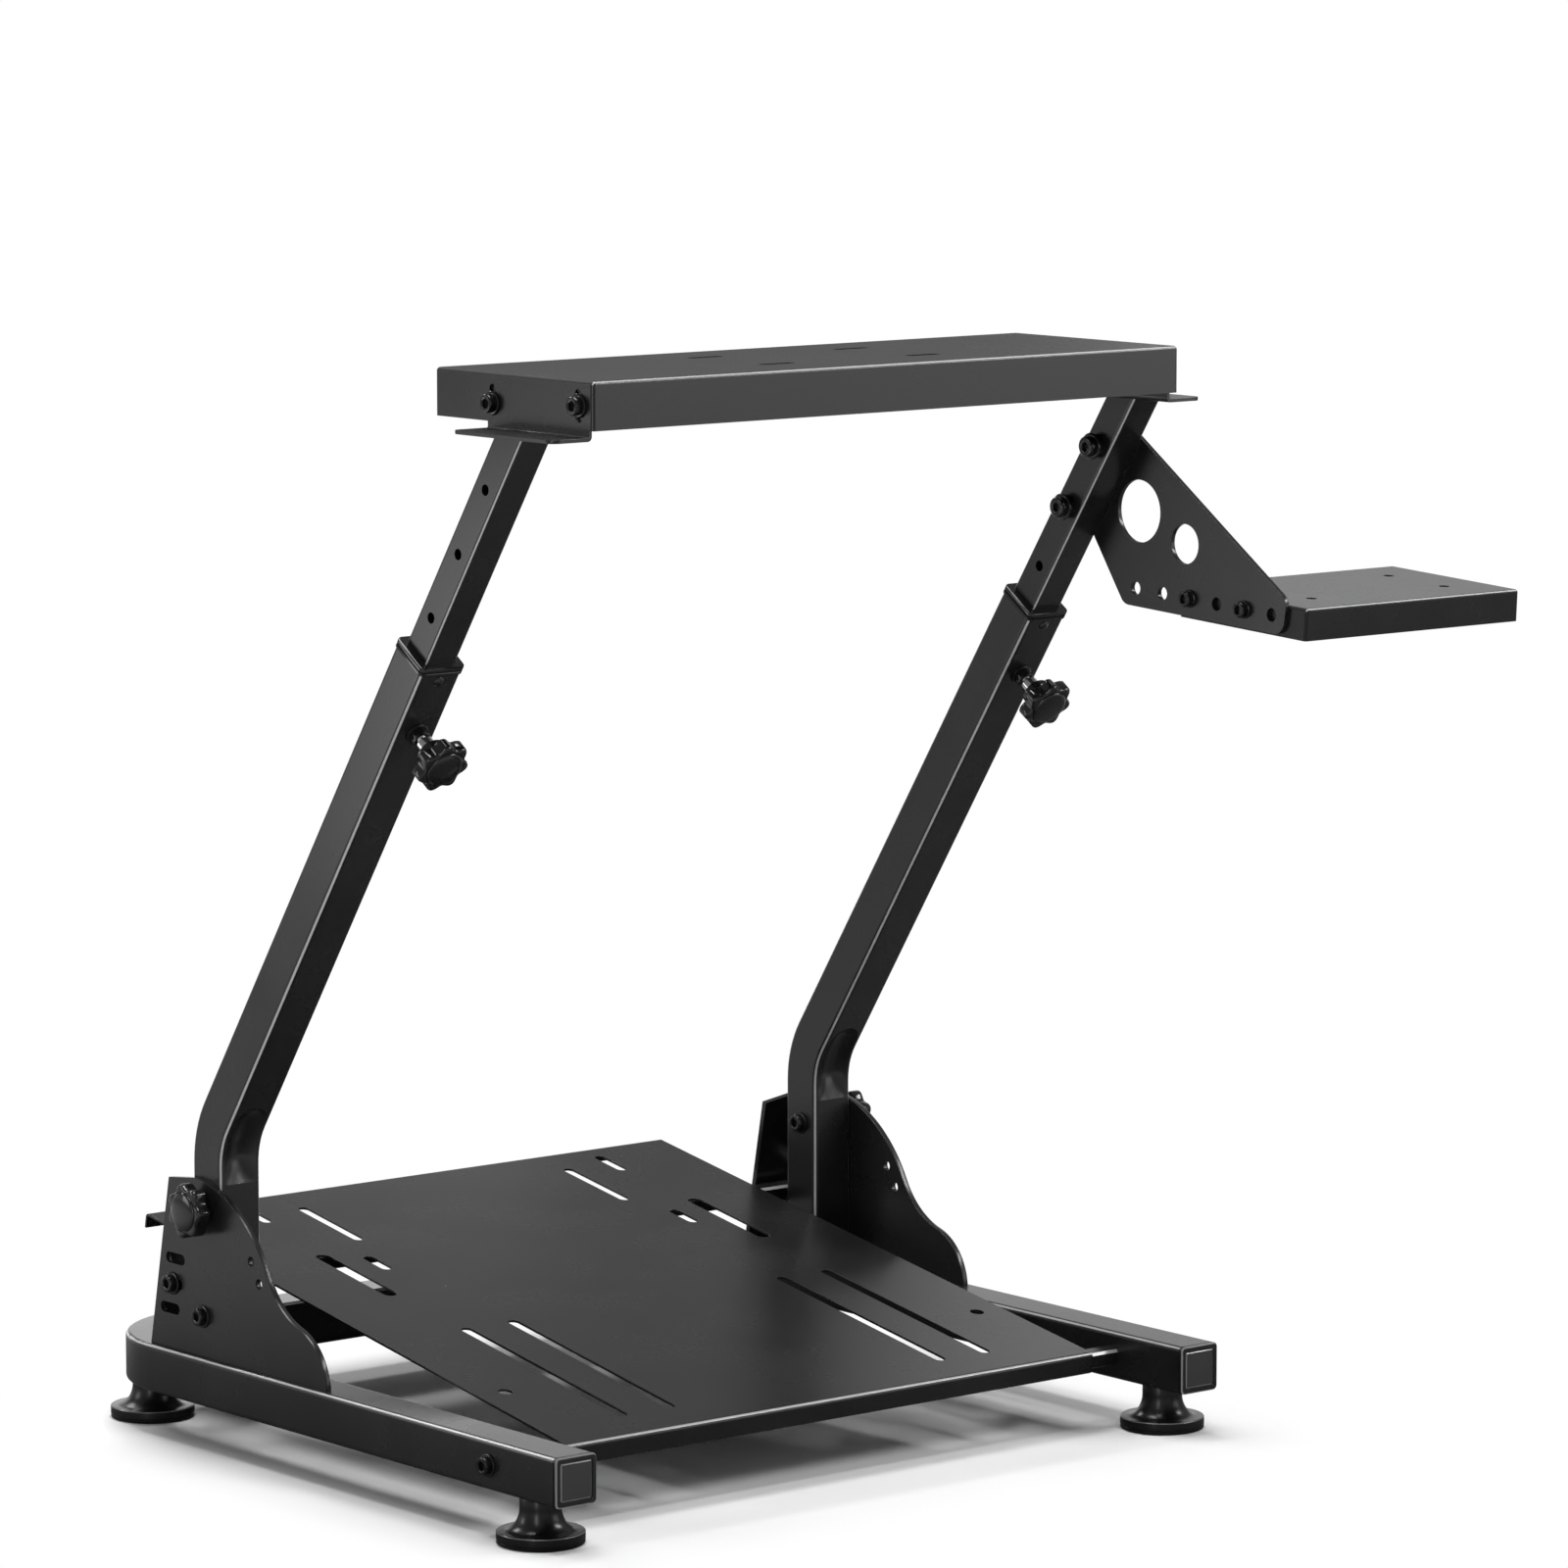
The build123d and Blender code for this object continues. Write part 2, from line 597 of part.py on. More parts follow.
def inner_tube(x):
    """Telescoping tube with through holes and a level-cut top."""
    length = (INNER_TOP_Z - LEG_BEND_Z) / LEAN_COS + INNER_TUBE - INNER_FOOT
    bore = INNER_TUBE - 2 * INNER_WALL
    holes = [leg_point(SIDE_HOLE_TOP - i * SIDE_HOLE_PITCH) for i in range(SIDE_HOLE_COUNT)]
    with BuildPart() as tube:
        with BuildSketch(leg_plane(x, INNER_FOOT)):
            RectangleRounded(INNER_TUBE, INNER_TUBE, INNER_CORNER)
            Rectangle(bore, bore, mode=Mode.SUBTRACT)
        extrude(amount=length)
        split(bisect_by=Plane.XY.offset(INNER_TOP_Z), keep=Keep.BOTTOM)
        with BuildSketch(Plane.YZ):
            with Locations(*holes):
                Circle(SIDE_HOLE / 2)
        extrude(amount=BASE_WIDTH, both=True, mode=Mode.SUBTRACT)
    return tube.part


# Deck and its brackets
deck_top = INNER_TOP_Z + DECK_LIFT + DECK_HEIGHT
deck_bottom = INNER_TOP_Z + DECK_LIFT
pivot_y = DECK_FRONT_Y + DECK_PIVOT_BACK
pivot_z = deck_bottom + DECK_PIVOT_RISE
slip_y = DECK_FRONT_Y + DECK_SLIP_BACK
slip_z = deck_bottom + DECK_SLIP_RISE
deck_bracket_x = DECK_WIDTH / 2 - DECK_SHEET - SLIDING_FIT - DECK_BRACKET_SHEET
deck_bracket_end = LEG_X + INNER_TUBE / 2 + DECK_BRACKET_OVERHANG


def deck_bracket(side):
    """Folded angle on top of the inner tube, with an upright leg inside the deck's flange."""
    plane = Plane(origin=(0, INNER_TOP_Y - DECK_BRACKET_FRONT, 0), x_dir=(1, 0, 0), z_dir=(0, 1, 0))
    inner = side * deck_bracket_x
    with BuildPart() as bracket:
        with BuildSketch(plane):
            with BuildLine():
                FilletPolyline(
                    (inner, -(INNER_TOP_Z + DECK_BRACKET_HEIGHT)),
                    (inner, -INNER_TOP_Z),
                    (side * deck_bracket_end, -INNER_TOP_Z),
                    radius=DECK_BRACKET_BEND,
                )
                offset(amount=DECK_BRACKET_SHEET, side=Side.RIGHT if side > 0 else Side.LEFT)
            make_face()
        extrude(amount=DECK_BRACKET_FRONT + DECK_BRACKET_BACK)
        outer_corners = bracket.edges().filter_by(Axis.Z).sort_by(Axis((0, 0, 0), (side, 0, 0)))[-2:]
        fillet(outer_corners, DECK_BRACKET_CORNER)
        with BuildSketch(Plane.YZ.offset(inner)):
            with Locations((pivot_y, pivot_z), (slip_y, slip_z)):
                Circle(BOLT_HOLE / 2)
        extrude(amount=side * DECK_BRACKET_SHEET, mode=Mode.SUBTRACT)
    return bracket.part


with BuildPart() as wheel_deck:
    with Locations((0, DECK_FRONT_Y + DECK_DEPTH / 2, deck_bottom)):
        Box(DECK_WIDTH, DECK_DEPTH, DECK_HEIGHT, align=UPWARD)
    upright = wheel_deck.edges().filter_by(Axis.Z)
    fillet(upright + wheel_deck.faces().sort_by(Axis.Z)[-1].edges(), DECK_BEND)
    offset(amount=-DECK_SHEET, openings=wheel_deck.faces().sort_by(Axis.Z)[0])
    slip_radius = hypot(slip_y - pivot_y, slip_z - pivot_z)
    slip_heading = degrees(atan2(slip_z - pivot_z, slip_y - pivot_y))
    with BuildSketch(Plane.YZ):
        with Locations((pivot_y, pivot_z + DECK_PIVOT_SLOT / 2)):
            SlotCenterToCenter(DECK_PIVOT_SLOT, BOLT + 2 * RUNNING_FIT, rotation=90)
        with BuildLine(mode=Mode.PRIVATE) as slip_path:
            CenterArc(
                (pivot_y, pivot_z), slip_radius, slip_heading - DECK_SLIP_ANGLE, 2 * DECK_SLIP_ANGLE
            )
        SlotArc(slip_path.edge(), BOLT_HOLE)
    extrude(amount=DECK_WIDTH, both=True, mode=Mode.SUBTRACT)
    with BuildSketch(Plane.XY.offset(deck_top)):
        with Locations((0, DECK_FRONT_Y + DECK_DEPTH / 2)):
            with GridLocations(*WHEEL_HOLES, 2, 2):
                SlotOverall(WHEEL_SLOT_LENGTH, WHEEL_SLOT)
    extrude(amount=-DECK_HEIGHT / 2, mode=Mode.SUBTRACT)
keep("wheel_deck", wheel_deck.part)

# Shifter bracket on the right inner tube, and the tray that it carries
droop_cos = cos(radians(SHIFTER_DROOP))
droop_sin = sin(radians(SHIFTER_DROOP))
shifter_x = LEG_X + INNER_TUBE / 2
tray_x = shifter_x + SHIFTER_SHEET


def bolt_point(ahead, below):
    """Y and Z given from the upper screw that holds the shifter bracket."""
    y, z = leg_point(SIDE_HOLE_TOP)
    return (y - ahead, z - below)


def row_point(ahead, below=0.0):
    """Y and Z at a distance in front of the rearmost row hole, and below the row."""
    return bolt_point(
        ROW_AHEAD + ahead * droop_cos - below * droop_sin,
        ROW_BELOW + ahead * droop_sin + below * droop_cos,
    )


row_length = (ROW_COUNT - 1) * ROW_PITCH
with BuildPart() as shifter_bracket:
    with BuildSketch(Plane.YZ.offset(shifter_x)):
        with BuildLine():
            FilletPolyline(
                leg_point(SHIFTER_TOP, 0),
                leg_point(SHIFTER_TOP, -SHIFTER_REACH),
                row_point(row_length + ROW_NOSE, ROW_EDGE),
                row_point(-ROW_NOSE, ROW_EDGE),
                leg_point(SHIFTER_TUBE_END, -INNER_TUBE / 4),
                radius=SHIFTER_CORNER,
            )
            Polyline(
                leg_point(SHIFTER_TUBE_END, -INNER_TUBE / 4),
                leg_point(SHIFTER_TUBE_END, INNER_TUBE / 2),
                leg_point(SHIFTER_TOP, INNER_TUBE / 2),
                leg_point(SHIFTER_TOP, 0),
            )
        make_face()
        with Locations(*[row_point(i * ROW_PITCH) for i in range(ROW_COUNT)]):
            Circle(ROW_HOLE / 2, mode=Mode.SUBTRACT)
        for size, ahead, below in LIGHT_HOLES:
            with Locations(bolt_point(ahead, below)):
                Circle(size / 2, mode=Mode.SUBTRACT)
        with Locations(leg_point(SIDE_HOLE_TOP), leg_point(SIDE_HOLE_TOP - SIDE_HOLE_PITCH)):
            Circle(BOLT_HOLE / 2, mode=Mode.SUBTRACT)
    extrude(amount=SHIFTER_SHEET)
keep("shifter_bracket", shifter_bracket.part)

tray_plane = Plane(
    origin=(tray_x, *row_point(0)), x_dir=(1, 0, 0), z_dir=(0, -droop_sin, droop_cos)
)
tray_rows = (ROW_COUNT // 3, ROW_COUNT - ROW_COUNT // 3)
tray_middle = TRAY_BACK - tray_rows[0] * ROW_PITCH - TRAY_DEPTH / 2
with BuildPart(tray_plane) as shifter_tray:
    with Locations((TRAY_WIDTH / 2, tray_middle, TRAY_RISE)):
        Box(TRAY_WIDTH, TRAY_DEPTH, TRAY_HEIGHT, align=DOWNWARD)
    up = Axis(tray_plane.origin, tray_plane.z_dir)
    fillet(shifter_tray.edges().filter_by(up), TRAY_BEND)
    fillet(shifter_tray.faces().sort_by(up)[-1].edges(), TRAY_BEND)
    offset(amount=-TRAY_SHEET, openings=shifter_tray.faces().sort_by(up)[0])
    with Locations((TRAY_WIDTH / 2, tray_middle, TRAY_RISE)):
        with GridLocations(*TRAY_HOLES, 2, 2):
            Cylinder(TRAY_HOLE / 2, TRAY_HEIGHT, mode=Mode.SUBTRACT)
    with Locations(*[(0, -i * ROW_PITCH, 0) for i in tray_rows]):
        Cylinder(BOLT_HOLE / 2, TRAY_BEND * 4, rotation=(0, 90, 0), mode=Mode.SUBTRACT)
keep("shifter_tray", shifter_tray.part)


def facing(x, spot, way):
    """Seat plane at X for a cross-wise screw whose head points the given way along X."""
    return Plane(origin=(x, *spot), x_dir=(0, way, 0), z_dir=(way, 0, 0))


lock_seat = BRACKET_X + WASHER_HEIGHT + SLIDING_FIT
lock_bore = LOCK_HUB_HEIGHT + KNOB_HEIGHT / 2
clamp_seat = CLAMP_BOSS_HEIGHT + CLAMP_STANDOFF
lock_screws = []
base_screws = []
deck_screws = []
for name, side in (("left", -1), ("right", 1)):
    x = side * LEG_X
    with BuildPart() as leg:
        with Locations((x, 0, 0)):
            add(leg_blank.part)
    keep(name + "_leg", leg.part)
    keep(name + "_collar", collar(x))
    keep(name + "_clamp_boss", clamp_boss(x))
    keep(name + "_inner_tube", inner_tube(x))
    keep(name + "_deck_bracket", deck_bracket(side))
    clamp_stud = clamp_seat + (TUBE - INNER_TUBE) / 2 - SLIDING_FIT
    clamp_face = leg_front(x, clamp_along, clamp_seat)
    keep(name + "_clamp_knob", star_knob(clamp_face, CLAMP_HUB_HEIGHT, stud=clamp_stud))
    lock_face = facing(side * lock_seat, lock_spots[0], side)
    keep(name + "_lock_knob", star_knob(lock_face, LOCK_HUB_HEIGHT, bore=lock_bore))
    leg_inner = LEG_X - TUBE / 2
    lock_grip = lock_seat + lock_bore - SLIDING_FIT - leg_inner
    lock_screws.append(cap_screw(facing(side * leg_inner, lock_spots[0], -side), lock_grip))
    pivot_grip = BRACKET_X - leg_inner
    pivot_seat = facing(side * BRACKET_X, pivot_point(0, 0), side)
    base_screws.append(cap_screw(pivot_seat, pivot_grip, nut=True))
    rear_seat = facing(side * BRACKET_X, (REAR_BAR_Y, REAR_BAR_Z), side)
    base_screws.append(cap_screw(rear_seat, BRACKET_SHEET + BAR - SLIDING_FIT))
    front_seat = facing(side * BASE_WIDTH / 2, (FRONT_BAR_Y, FRONT_BAR_Z), side)
    base_screws.append(cap_screw(front_seat, TUBE + BAR - SLIDING_FIT))
    deck_grip = DECK_WIDTH / 2 + SLIDING_FIT - deck_bracket_x
    for spot in ((pivot_y, pivot_z), (slip_y, slip_z)):
        deck_seat = facing(side * (DECK_WIDTH / 2 + SLIDING_FIT), spot, side)
        deck_screws.append(cap_screw(deck_seat, deck_grip, nut=True))

shifter_screws = []
for i in range(2):
    seat = facing(shifter_x - INNER_TUBE, leg_point(SIDE_HOLE_TOP - i * SIDE_HOLE_PITCH), -1)
    shifter_screws.append(cap_screw(seat, INNER_TUBE + SHIFTER_SHEET, nut=True, spacer=SHIFTER_SPACER))
for i in tray_rows:
    seat = facing(shifter_x, row_point(i * ROW_PITCH), -1)
    shifter_screws.append(cap_screw(seat, SHIFTER_SHEET + TRAY_SHEET, nut=True))

for name, screws in (
    ("lock_bolts", lock_screws),
    ("base_bolts", base_screws),
    ("deck_bolts", deck_screws),
    ("shifter_bolts", shifter_screws),
):
    with BuildPart() as screw_set:
        add(screws)
    keep(name, screw_set.part)

# Origin at the bottom centre of the whole stand
stand = Compound(list(pieces.values())).bounding_box()
centre = stand.center()
to_origin = Location((-centre.X, -centre.Y, -stand.min.Z))
print("moved by", -centre.X, -centre.Y, -stand.min.Z, "size", stand.size)
os.makedirs("parts", exist_ok=True)
for name, part in pieces.items():
    moved = part.moved(to_origin)
    moved.label = name
    export_step(moved, f"parts/{name}.step")
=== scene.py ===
import json
import math

import bmesh
import bpy
from mathutils import Matrix, Vector


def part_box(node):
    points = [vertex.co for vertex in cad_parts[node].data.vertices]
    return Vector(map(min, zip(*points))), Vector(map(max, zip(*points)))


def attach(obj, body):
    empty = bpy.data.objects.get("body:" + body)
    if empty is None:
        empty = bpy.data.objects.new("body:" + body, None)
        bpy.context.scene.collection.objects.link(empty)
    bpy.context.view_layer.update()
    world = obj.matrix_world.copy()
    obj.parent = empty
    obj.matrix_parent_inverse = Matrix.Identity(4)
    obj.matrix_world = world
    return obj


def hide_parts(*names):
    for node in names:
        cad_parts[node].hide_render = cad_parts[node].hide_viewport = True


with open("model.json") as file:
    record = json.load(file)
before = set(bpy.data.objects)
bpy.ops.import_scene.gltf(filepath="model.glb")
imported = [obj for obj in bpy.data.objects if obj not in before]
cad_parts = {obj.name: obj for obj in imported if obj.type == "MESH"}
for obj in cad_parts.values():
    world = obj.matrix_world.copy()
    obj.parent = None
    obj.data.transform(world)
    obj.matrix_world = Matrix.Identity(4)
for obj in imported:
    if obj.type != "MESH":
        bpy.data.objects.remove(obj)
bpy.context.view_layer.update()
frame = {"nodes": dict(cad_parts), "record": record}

nodes = frame["nodes"]
record = frame["record"]
scene = bpy.context.scene
bodies = record["behaviour"]["bodies"]
body_of_node = {node: body for body, names in bodies.items() for node in names}
joints = {joint["name"]: joint for joint in record["behaviour"]["joints"]}
MM = 0.001


def socket(shader, name, value):
    """Set a constant on an input of a shader node."""
    shader.inputs[name].default_value = value


# Materials

def mathed(tree, operation, first, second):
    """Value of a sum on two outputs or numbers in a node tree."""
    step = tree.nodes.new("ShaderNodeMath")
    step.operation = operation
    for slot, value in zip(step.inputs, (first, second)):
        if isinstance(value, (int, float)):
            slot.default_value = value
        else:
            tree.links.new(value, slot)
    return step.outputs["Value"]


def off_from(tree, value, middle):
    """Distance of a value from a middle one."""
    return mathed(tree, "ABSOLUTE", mathed(tree, "SUBTRACT", value, middle), 0.0)


def parted(tree, vector):
    """The three parts of a vector output."""
    split = tree.nodes.new("ShaderNodeSeparateXYZ")
    tree.links.new(vector, split.inputs["Vector"])
    return split.outputs


def ramp(tree, value, start, end, low, high):
    """Value that goes from low to high as an output goes from start to end."""
    step = tree.nodes.new("ShaderNodeMapRange")
    step.interpolation_type = "SMOOTHSTEP"
    socket(step, "From Min", start)
    socket(step, "From Max", end)
    socket(step, "To Min", low)
    socket(step, "To Max", high)
    tree.links.new(value, step.inputs["Value"])
    return step.outputs["Result"]


def choose(tree, switch, off, on):
    """Value of one output or another by a switch of 0 or 1."""
    step = tree.nodes.new("ShaderNodeMix")
    step.data_type = "FLOAT"
    for slot, value in zip((step.inputs[0], step.inputs[2], step.inputs[3]), (switch, off, on)):
        if isinstance(value, (int, float)):
            slot.default_value = value
        else:
            tree.links.new(value, slot)
    return step.outputs[0]


def blended(tree, switch, off, on):
    """Colour between two colours or outputs by a factor."""
    step = tree.nodes.new("ShaderNodeMix")
    step.data_type = "RGBA"
    tree.links.new(switch, step.inputs[0])
    for slot, value in ((step.inputs[6], off), (step.inputs[7], on)):
        if isinstance(value, tuple):
            slot.default_value = (*value, 1.0)
        else:
            tree.links.new(value, slot)
    return step.outputs[2]


WHITE = (1.0, 1.0, 1.0, 1.0)
# Painted highlights: lighter colours laid along rounded edges in place of the glints of the lamps
EDGE_HIGHLIGHT_TONE = (0.42, 0.42, 0.425)
CAP_EDGE_HIGHLIGHT_TONE = (0.20, 0.20, 0.20)
PANEL_TONE = (0.028, 0.028, 0.029)
EDGE_ROUGH = 0.2
DULL_ROUGH = 0.75
GRAIN_DETAIL, GRAIN_ROUGH = 3.0, 0.55
DRIFT_SCALE, DRIFT_DETAIL = 14.0, 4.0
DRIFT_LOW, DRIFT_HIGH = 0.3, 0.7
# Square of the normal's share along an axis, times the rest: 0.25 half way round an edge; between
# these two values the painted edge highlight fades in
HIGHLIGHT_START, HIGHLIGHT_FULL = 0.16, 0.24
UP_FULL = 0.2


def coated(name, dark, light, rough, grain, depth, spread=0.03, specular=0.5, edge=None,
           highlight_tone=EDGE_HIGHLIGHT_TONE, upward=False, within=None, zone=None, dull=None):
    """Procedural surface: fine grain as bump, slow drift of colour and roughness.

    With an edge axis, the rounded edges between faces along and across that axis get a painted
    highlight, a lighter colour and lower roughness, only those that look up if told, and only where
    the function within gives 1.
    With a zone, the part of the surface where that function gives 1 has its own colour.
    Where the function dull gives 1, the surface is matt.
    """
    made = bpy.data.materials.new(name)
    made.use_nodes = True
    tree = made.node_tree
    new, link = tree.nodes.new, tree.links.new
    shader = tree.nodes["Principled BSDF"]
    where = new("ShaderNodeTexCoord")
    fine = new("ShaderNodeTexNoise")
    socket(fine, "Scale", grain)
    socket(fine, "Detail", GRAIN_DETAIL)
    socket(fine, "Roughness", GRAIN_ROUGH)
    bump = new("ShaderNodeBump")
    socket(bump, "Strength", 1.0)
    socket(bump, "Distance", depth)
    slow = new("ShaderNodeTexNoise")
    socket(slow, "Scale", DRIFT_SCALE)
    socket(slow, "Detail", DRIFT_DETAIL)
    tone = new("ShaderNodeValToRGB")
    tone.color_ramp.elements[0].position = DRIFT_LOW
    tone.color_ramp.elements[0].color = (*dark, 1.0)
    tone.color_ramp.elements[1].position = DRIFT_HIGH
    tone.color_ramp.elements[1].color = (*light, 1.0)
    link(where.outputs["Object"], fine.inputs["Vector"])
    link(where.outputs["Object"], slow.inputs["Vector"])
    link(fine.outputs["Fac"], bump.inputs["Height"])
    link(bump.outputs["Normal"], shader.inputs["Normal"])
    link(slow.outputs["Fac"], tone.inputs["Fac"])
    colour = tone.outputs["Color"]
    gloss = ramp(tree, slow.outputs["Fac"], DRIFT_LOW, DRIFT_HIGH, rough - spread, rough + spread)
    # Painted highlight: the rounded edges found from the normal get a lighter colour and lower
    # roughness
    if edge:
        facing = parted(tree, where.outputs["Normal"])
        along = mathed(tree, "MULTIPLY", facing[edge], facing[edge])
        rounded = mathed(tree, "MULTIPLY", along, mathed(tree, "SUBTRACT", 1.0, along))
        highlight_mask = ramp(tree, rounded, HIGHLIGHT_START, HIGHLIGHT_FULL, 0.0, 1.0)
        if upward:
            upper = ramp(tree, facing["Z"], 0.0, UP_FULL, 0.0, 1.0)
            highlight_mask = mathed(tree, "MULTIPLY", highlight_mask, upper)
        if within:
            highlight_mask = mathed(tree, "MULTIPLY", highlight_mask, within(tree, where.outputs["Object"]))
        colour = blended(tree, highlight_mask, colour, highlight_tone)
        gloss = choose(tree, highlight_mask, gloss, EDGE_ROUGH)
    if zone:
        colour = blended(tree, zone(tree, where.outputs["Object"]), colour, PANEL_TONE)
    if dull:
        matt = dull(tree, where.outputs["Normal"], where.outputs["Object"])
        gloss = choose(tree, matt, gloss, DULL_ROUGH)
    link(colour, shader.inputs["Base Color"])
    link(gloss, shader.inputs["Roughness"])
    socket(shader, "Specular IOR Level", specular)
    return made


CAP_PANEL = 14.0 * MM
CORNER_SHARE = 0.78
BEND_START, BEND_FULL = 0.12, 0.3
RAIL_BLEND = 10 * MM


def from_middle(tree, place, left, right):
    """Distance in X from the middle of the nearer of two nodes that stand side by side."""
    low, high = ([Vector(corner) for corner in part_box(node)] for node in (left, right))
    low_x, high_x = (low[0].x + low[1].x) / 2, (high[0].x + high[1].x) / 2
    across = off_from(tree, parted(tree, place)["X"], (low_x + high_x) / 2)
    return off_from(tree, across, (high_x - low_x) / 2)


def cap_panel(tree, place):
    """1 on the square panel in the middle of either rail cap, 0 on its border."""
    low, high = (Vector(corner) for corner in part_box("left_rail_cap"))
    up = off_from(tree, parted(tree, place)["Z"], (low.z + high.z) / 2)
    across = from_middle(tree, place, "left_rail_cap", "right_rail_cap")
    return mathed(tree, "LESS_THAN", mathed(tree, "MAXIMUM", across, up), CAP_PANEL)


def leg_corners(tree, place):
    """1 on the rounded corners of either leg, which take the painted edge highlight, 0 between them,
    where the pressed groove is.
    """
    low, high = (Vector(corner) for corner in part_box("left_leg"))
    across = from_middle(tree, place, "left_leg", "right_leg")
    return mathed(tree, "GREATER_THAN", across, CORNER_SHARE * (high.x - low.x) / 2)


def left_bends(tree, normal, place):
    """1 on the rounded edges between a face that looks left and a level top."""
    parts = parted(tree, normal)
    leftward = ramp(tree, parts["X"], -BEND_FULL, -BEND_START, 1.0, 0.0)
    upper = ramp(tree, parts["Z"], BEND_START, BEND_FULL, 0.0, 1.0)
    return mathed(tree, "MULTIPLY", leftward, upper)


def right_rail_bends(tree, normal, place):
    """1 on those edges right of the middle of the part."""
    rightward = ramp(tree, parted(tree, place)["X"], 0.0, RAIL_BLEND, 0.0, 1.0)
    return mathed(tree, "MULTIPLY", left_bends(tree, normal, place), rightward)


COAT_TONES = (0.007, 0.007, 0.0075), (0.011, 0.011, 0.0115)
PLASTIC_TONES = (0.006, 0.006, 0.006), (0.009, 0.009, 0.009)
BLACK_TONES = (0.005, 0.005, 0.005), (0.008, 0.008, 0.008)
# Tones of the painted highlight lines on the feet's rolled rims
RIM_HIGHLIGHT_TONES = (0.10, 0.10, 0.10), (0.17, 0.17, 0.17)
PLATED_TONES = (0.50, 0.50, 0.51), (0.62, 0.62, 0.63)


def powder(name, **edges):
    """The stand's satin black coat, with painted edge highlights and matt edges as its piece needs
    them.
    """
    return coated("powder_coat_" + name, *COAT_TONES, rough=0.27, grain=900.0, depth=0.000006,
                  spread=0.008, **edges)


# Coats with an edge axis carry painted highlights on their rounded edges
tube_coat = powder("tube", edge="X")
leg_coat = powder("leg", edge="X", within=leg_corners)
cut_coat = powder("cut_plate", edge="X", upward=True)
base_coat = powder("base", edge="Z", upward=True, dull=right_rail_bends)
deck_coat = powder("deck", edge="Y", upward=True, dull=left_bends)
tray_coat = powder("tray", edge="Y", upward=True, dull=left_bends, specular=0.22)
plain_coat = powder("plain")
plastic = coated("moulded_plastic", *PLASTIC_TONES, rough=0.13, grain=1200.0, depth=0.000003,
                 spread=0.02)
# Rail caps carry a painted highlight on the rounded edges of their border
cap_plastic = coated("cap_plastic", *PLASTIC_TONES, rough=0.34, grain=1200.0, depth=0.00004,
                     edge="Y", highlight_tone=CAP_EDGE_HIGHLIGHT_TONE, zone=cap_panel)
rubber = coated("foot_rubber", *BLACK_TONES, rough=0.29, grain=1400.0, depth=0.000005, specular=0.4)
oxide = coated("black_screws", *BLACK_TONES, rough=0.17, grain=1500.0, depth=0.000004, spread=0.02,
               specular=0.35)
# Painted highlight: lighter colour for thin lines on the feet's rolled rims
rim_highlight = coated("painted_rim_highlight", *RIM_HIGHLIGHT_TONES, rough=0.2, grain=1200.0, depth=0.000004)
plated = coated("plated_stud", *PLATED_TONES, rough=0.2, grain=1500.0, depth=0.000004)
socket(plated.node_tree.nodes["Principled BSDF"], "Metallic", 1.0)
by_slot = {
    "powder_coat": base_coat, "moulded_plastic": plastic, "foot_rubber": rubber,
    "black_screws": oxide,
}
by_ending = {
    "_leg": leg_coat, "inner_tube": tube_coat, "left_bracket": cut_coat, "right_bracket": cut_coat,
    "shifter_bracket": plain_coat, "shifter_tray": tray_coat, "wheel_deck": deck_coat,
    "rail_cap": cap_plastic,
}

for entry in record["subparts"]:
    node = nodes[entry["node"]]
    looks = by_slot[entry["material_slot"]]
    for ending, special in by_ending.items():
        if entry["node"].endswith(ending):
            looks = special
    node.data.materials.clear()
    node.data.materials.append(looks)


# Pieces finer than the solids; lists of rings are profiles, from the seat outwards

SIDES = 84
SHARP = math.radians(38)
NEAR = 0.1 * MM
SAME = 0.001 * MM


def star(radius, lobes, depth):
    """Radius at an angle for a lobed outline."""
    return lambda angle: radius - depth * (0.5 - 0.5 * math.cos(lobes * angle))


def hexagon(flat, limit=1.0):
    """Radius at an angle for a hexagon of a given half width, cut by a circle."""
    turn = math.pi / 3
    return lambda angle: min(flat / math.cos((angle + turn / 2) % turn - turn / 2), limit)


def lathe(bm, place, rings):
    """Join rings of (height, radius or radius at each angle) about the local Z of a place."""
    loops = []
    for height, radius in rings:
        if radius == 0:
            loops.append([bm.verts.new(place @ Vector((0, 0, height)))])
            continue
        loop = []
        for i in range(SIDES):
            angle = 2 * math.pi * i / SIDES
            reach = radius(angle) if callable(radius) else radius
            spot = Vector((reach * math.cos(angle), reach * math.sin(angle), height))
            loop.append(bm.verts.new(place @ spot))
        loops.append(loop)
    for low, high in zip(loops, loops[1:]):
        for i in range(SIDES):
            k = (i + 1) % SIDES
            corners = [low[i % len(low)], low[k % len(low)], high[k % len(high)], high[i % len(high)]]
            bm.faces.new(list(dict.fromkeys(corners)))


def finish_piece(name, bm, material, node=None, body=None, highlight_bands=()):
    """Turn a bmesh into a piece that rides with a node's body, and stands for that node if told.

    The turned bands given by number, counted from the first ring, take a lighter colour as a painted
    highlight.
    """
    bmesh.ops.recalc_face_normals(bm, faces=bm.faces)
    mesh = bpy.data.meshes.new(name)
    bm.to_mesh(mesh)
    bm.free()
    for face in mesh.polygons:
        face.use_smooth = True
    mesh.set_sharp_from_angle(angle=SHARP)
    mesh.materials.append(material)
    if highlight_bands:
        # Second material for the bands that get the painted highlight
        mesh.materials.append(rim_highlight)
    for band in highlight_bands:
        for face in range(band * SIDES, (band + 1) * SIDES):
            mesh.polygons[face].material_index = 1
    piece = bpy.data.objects.new(name, mesh)
    scene.collection.objects.link(piece)
    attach(piece, body or body_of_node[node])
    if node:
        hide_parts(node)


